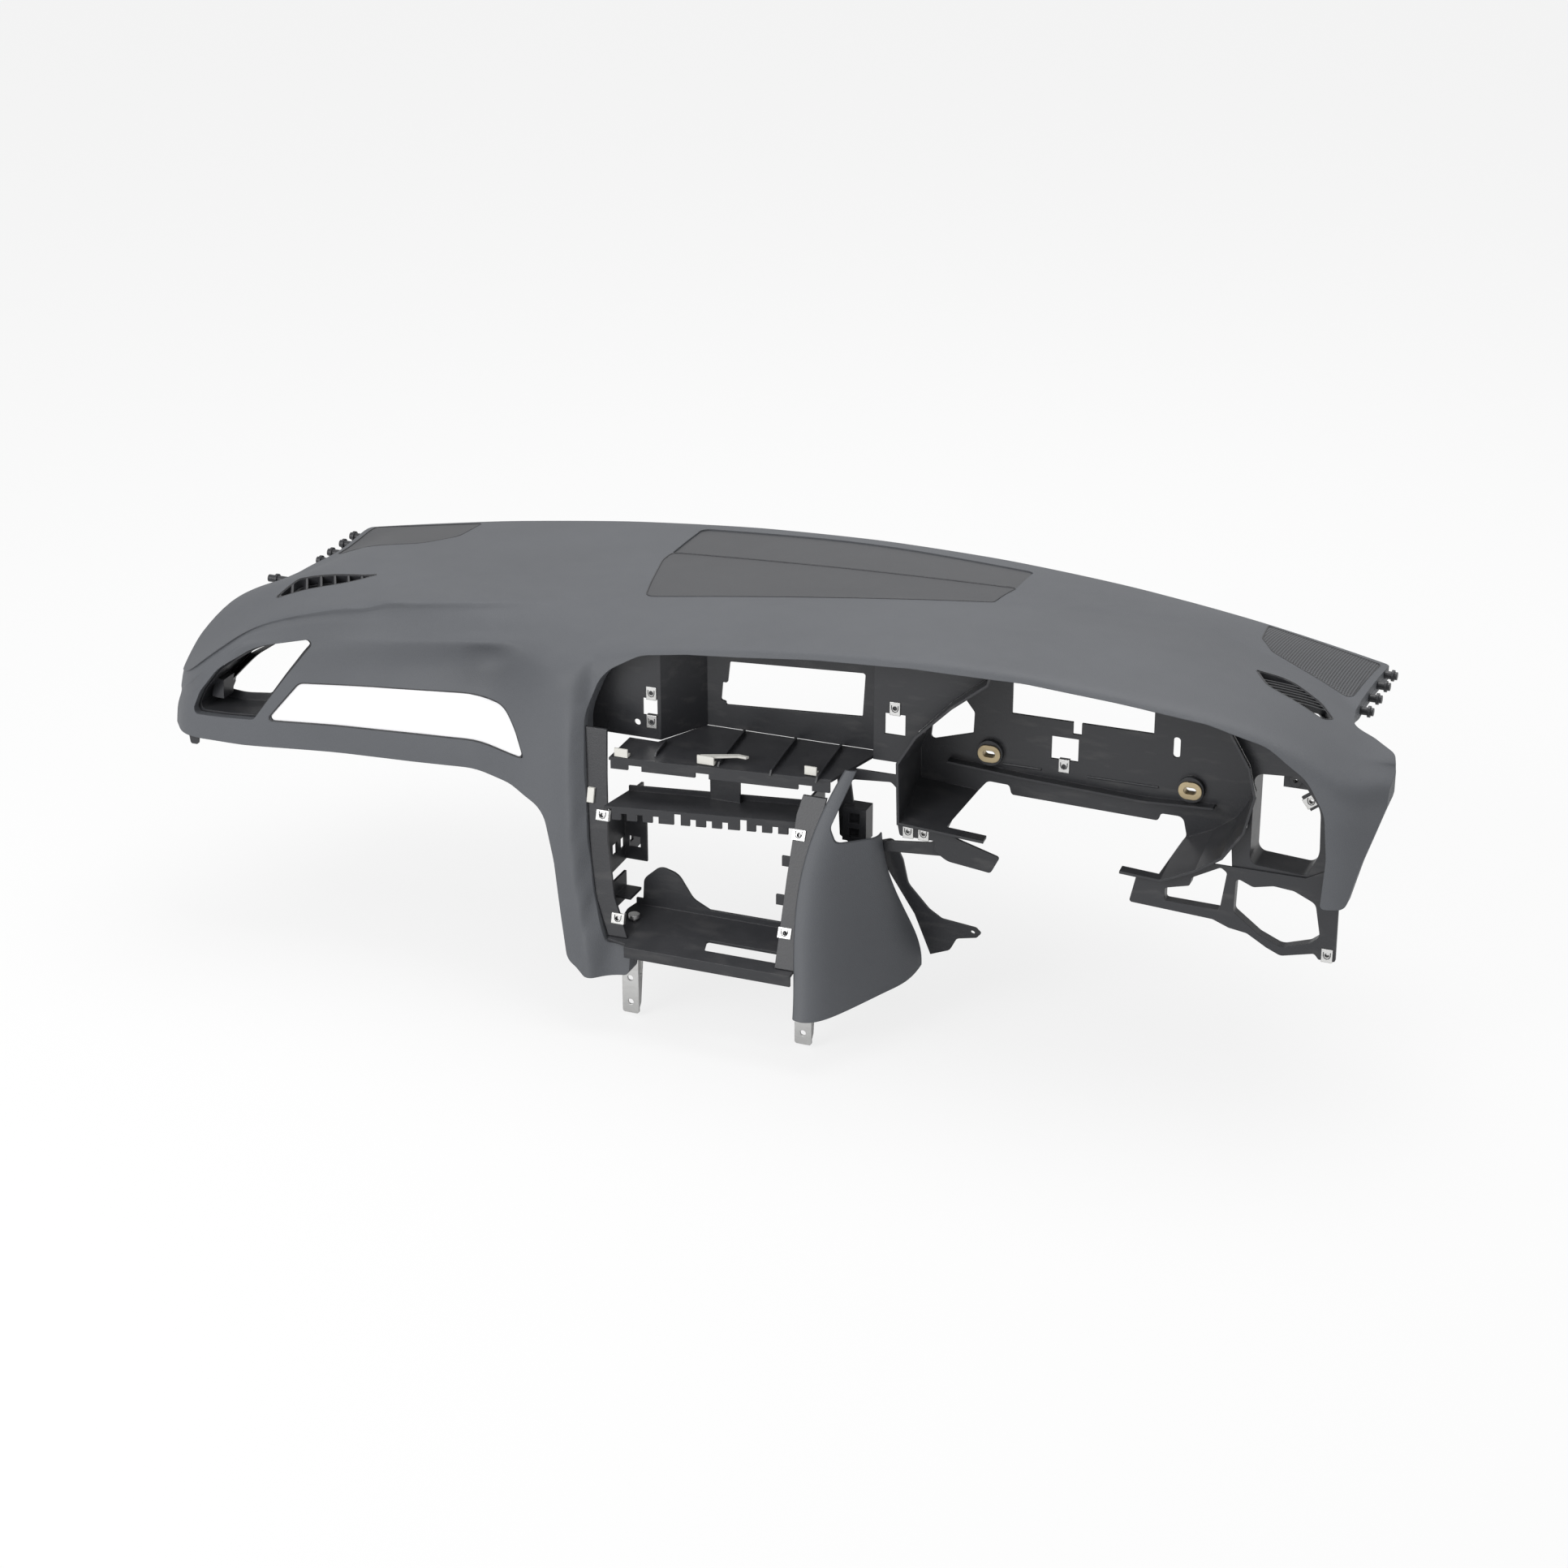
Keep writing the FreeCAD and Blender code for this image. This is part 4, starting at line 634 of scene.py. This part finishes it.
# %% Painted shade in the nut slots
MERGE, FACING_FRONT = 0.00001, -0.6
U_HALF, U_ARM, U_BEND = 0.0038, 0.0040, 0.0027
U_LIFT, U_RADIUS = 0.0001, 0.0005
U_SHAPE = ((-U_HALF, U_ARM), (-U_HALF, 0), (-U_BEND, -U_BEND), (0, -U_HALF),
           (U_BEND, -U_BEND), (U_HALF, 0), (U_HALF, U_ARM))

whole = bmesh.new()
whole.from_mesh(nodes["spring_nuts"].data)
bmesh.ops.remove_doubles(whole, verts=whole.verts, dist=MERGE)
# Each U is a dark tube, painted shade standing in for the open slot in the nut.
slot_shades = bmesh.new()
for island in islands(whole):
    faces = {f for v in island for f in v.link_faces if f.normal.y < FACING_FRONT}
    if not faces:
        continue
    facing = sum((f.normal * f.calc_area() for f in faces), Vector()).normalized()
    front = max(v.co.dot(facing) for v in island)
    middle = Vector([(min(v.co[k] for v in island) + max(v.co[k] for v in island)) / 2
                     for k in range(3)])
    middle += facing * (front - middle.dot(facing) + U_LIFT)
    right = facing.cross(Vector((0, 0, 1))).normalized()
    upward = right.cross(facing).normalized()
    tube(slot_shades, [middle + right * a + upward * b for a, b in U_SHAPE], U_RADIUS)
whole.free()
piece("nut_slot_shades", slot_shades, "hard_black")

# %% [markdown]
# ## Studio
# The floor is a broad pale sheet just under the legs. Camera rays see most of it as a white
# glow, which leaves a faint shadow of the object, and see the world as plain white. Soft area
# lamps light the top and the front.

# %% Floor and world
FLOOR_REACH, FLOOR_DROP = 14.0, 0.004
GLOW_SHARE = 0.80
WORLD_LIGHT, WORLD_SEEN = 0.55, 1.0

sheet = bmesh.new()
bmesh.ops.create_grid(sheet, x_segments=1, y_segments=1, size=FLOOR_REACH)
bmesh.ops.translate(sheet, vec=(0, 0, cad_low.z - FLOOR_DROP), verts=sheet.verts)
floor_mesh = bpy.data.meshes.new("studio_floor")
sheet.to_mesh(floor_mesh)
sheet.free()
floor = bpy.data.objects.new("studio_floor", floor_mesh)
bpy.context.scene.collection.objects.link(floor)
paper = bpy.data.materials.new("white_paper")
paper.use_nodes = True
tree = paper.node_tree
tree.nodes.remove(tree.nodes["Principled BSDF"])
matt = add(tree, "ShaderNodeBsdfDiffuse")
matt.inputs["Color"].default_value = (0.86, 0.86, 0.86, 1)
glow = add(tree, "ShaderNodeEmission")
seen = add(tree, "ShaderNodeLightPath")
part = add(tree, "ShaderNodeMath", operation="MULTIPLY")
part.inputs[1].default_value = GLOW_SHARE
blend = add(tree, "ShaderNodeMixShader")
tree.links.new(seen.outputs["Is Camera Ray"], part.inputs[0])
tree.links.new(part.outputs[0], blend.inputs[0])
tree.links.new(matt.outputs[0], blend.inputs[1])
tree.links.new(glow.outputs[0], blend.inputs[2])
tree.links.new(blend.outputs[0], tree.nodes["Material Output"].inputs["Surface"])
floor.data.materials.append(paper)

world = bpy.data.worlds.new("studio")
bpy.context.scene.world = world
world.use_nodes = True
sky = world.node_tree.nodes["Background"]
sky.inputs["Color"].default_value = (1, 1, 1, 1)
rays = add(world.node_tree, "ShaderNodeLightPath")
level = add(world.node_tree, "ShaderNodeMapRange")
level.inputs["To Min"].default_value = WORLD_LIGHT
level.inputs["To Max"].default_value = WORLD_SEEN
world.node_tree.links.new(rays.outputs["Is Camera Ray"], level.inputs["Value"])
world.node_tree.links.new(level.outputs["Result"], sky.inputs["Strength"])
print("floor at height:", round(cad_low.z - FLOOR_DROP, 3))

# %% [markdown]
# ## Lamps and camera
# One wide lamp hangs over the windscreen side, and a somewhat stronger one fills from the
# front left. The camera stands 3.6 m away, 21.5 degrees round to the driver's side and 23.5
# degrees up, with a long lens: the place and lens that fit the photograph.

# %% Lamps and camera
def lamp(name, where, target, size, power):
    light = bpy.data.lights.new(name, "AREA")
    light.shape = "DISK"
    light.size = size
    light.energy = power
    made = bpy.data.objects.new(name, light)
    made.location = where
    made.rotation_euler = (Vector(target) - Vector(where)).to_track_quat("-Z", "Y").to_euler()
    bpy.context.scene.collection.objects.link(made)


lamp("top_lamp", where=(0.2, 1.0, 3.0), target=(0.0, 0.2, 0.3), size=2.6, power=48.0)
lamp("front_fill", where=(-1.6, -2.8, 1.9), target=(0.0, 0.1, 0.25), size=2.2, power=62.0)

camera = bpy.data.objects.new("camera", bpy.data.cameras.new("camera"))
camera.data.sensor_width = SENSOR
camera.data.lens = LENS
camera.data.clip_end = 60.0
camera.location = eye
camera.rotation_euler = (-back).to_track_quat("-Z", "Y").to_euler()
bpy.context.scene.collection.objects.link(camera)
bpy.context.scene.camera = camera
bpy.context.scene.view_settings.view_transform = "Standard"
print("camera at:", [round(v, 3) for v in eye])
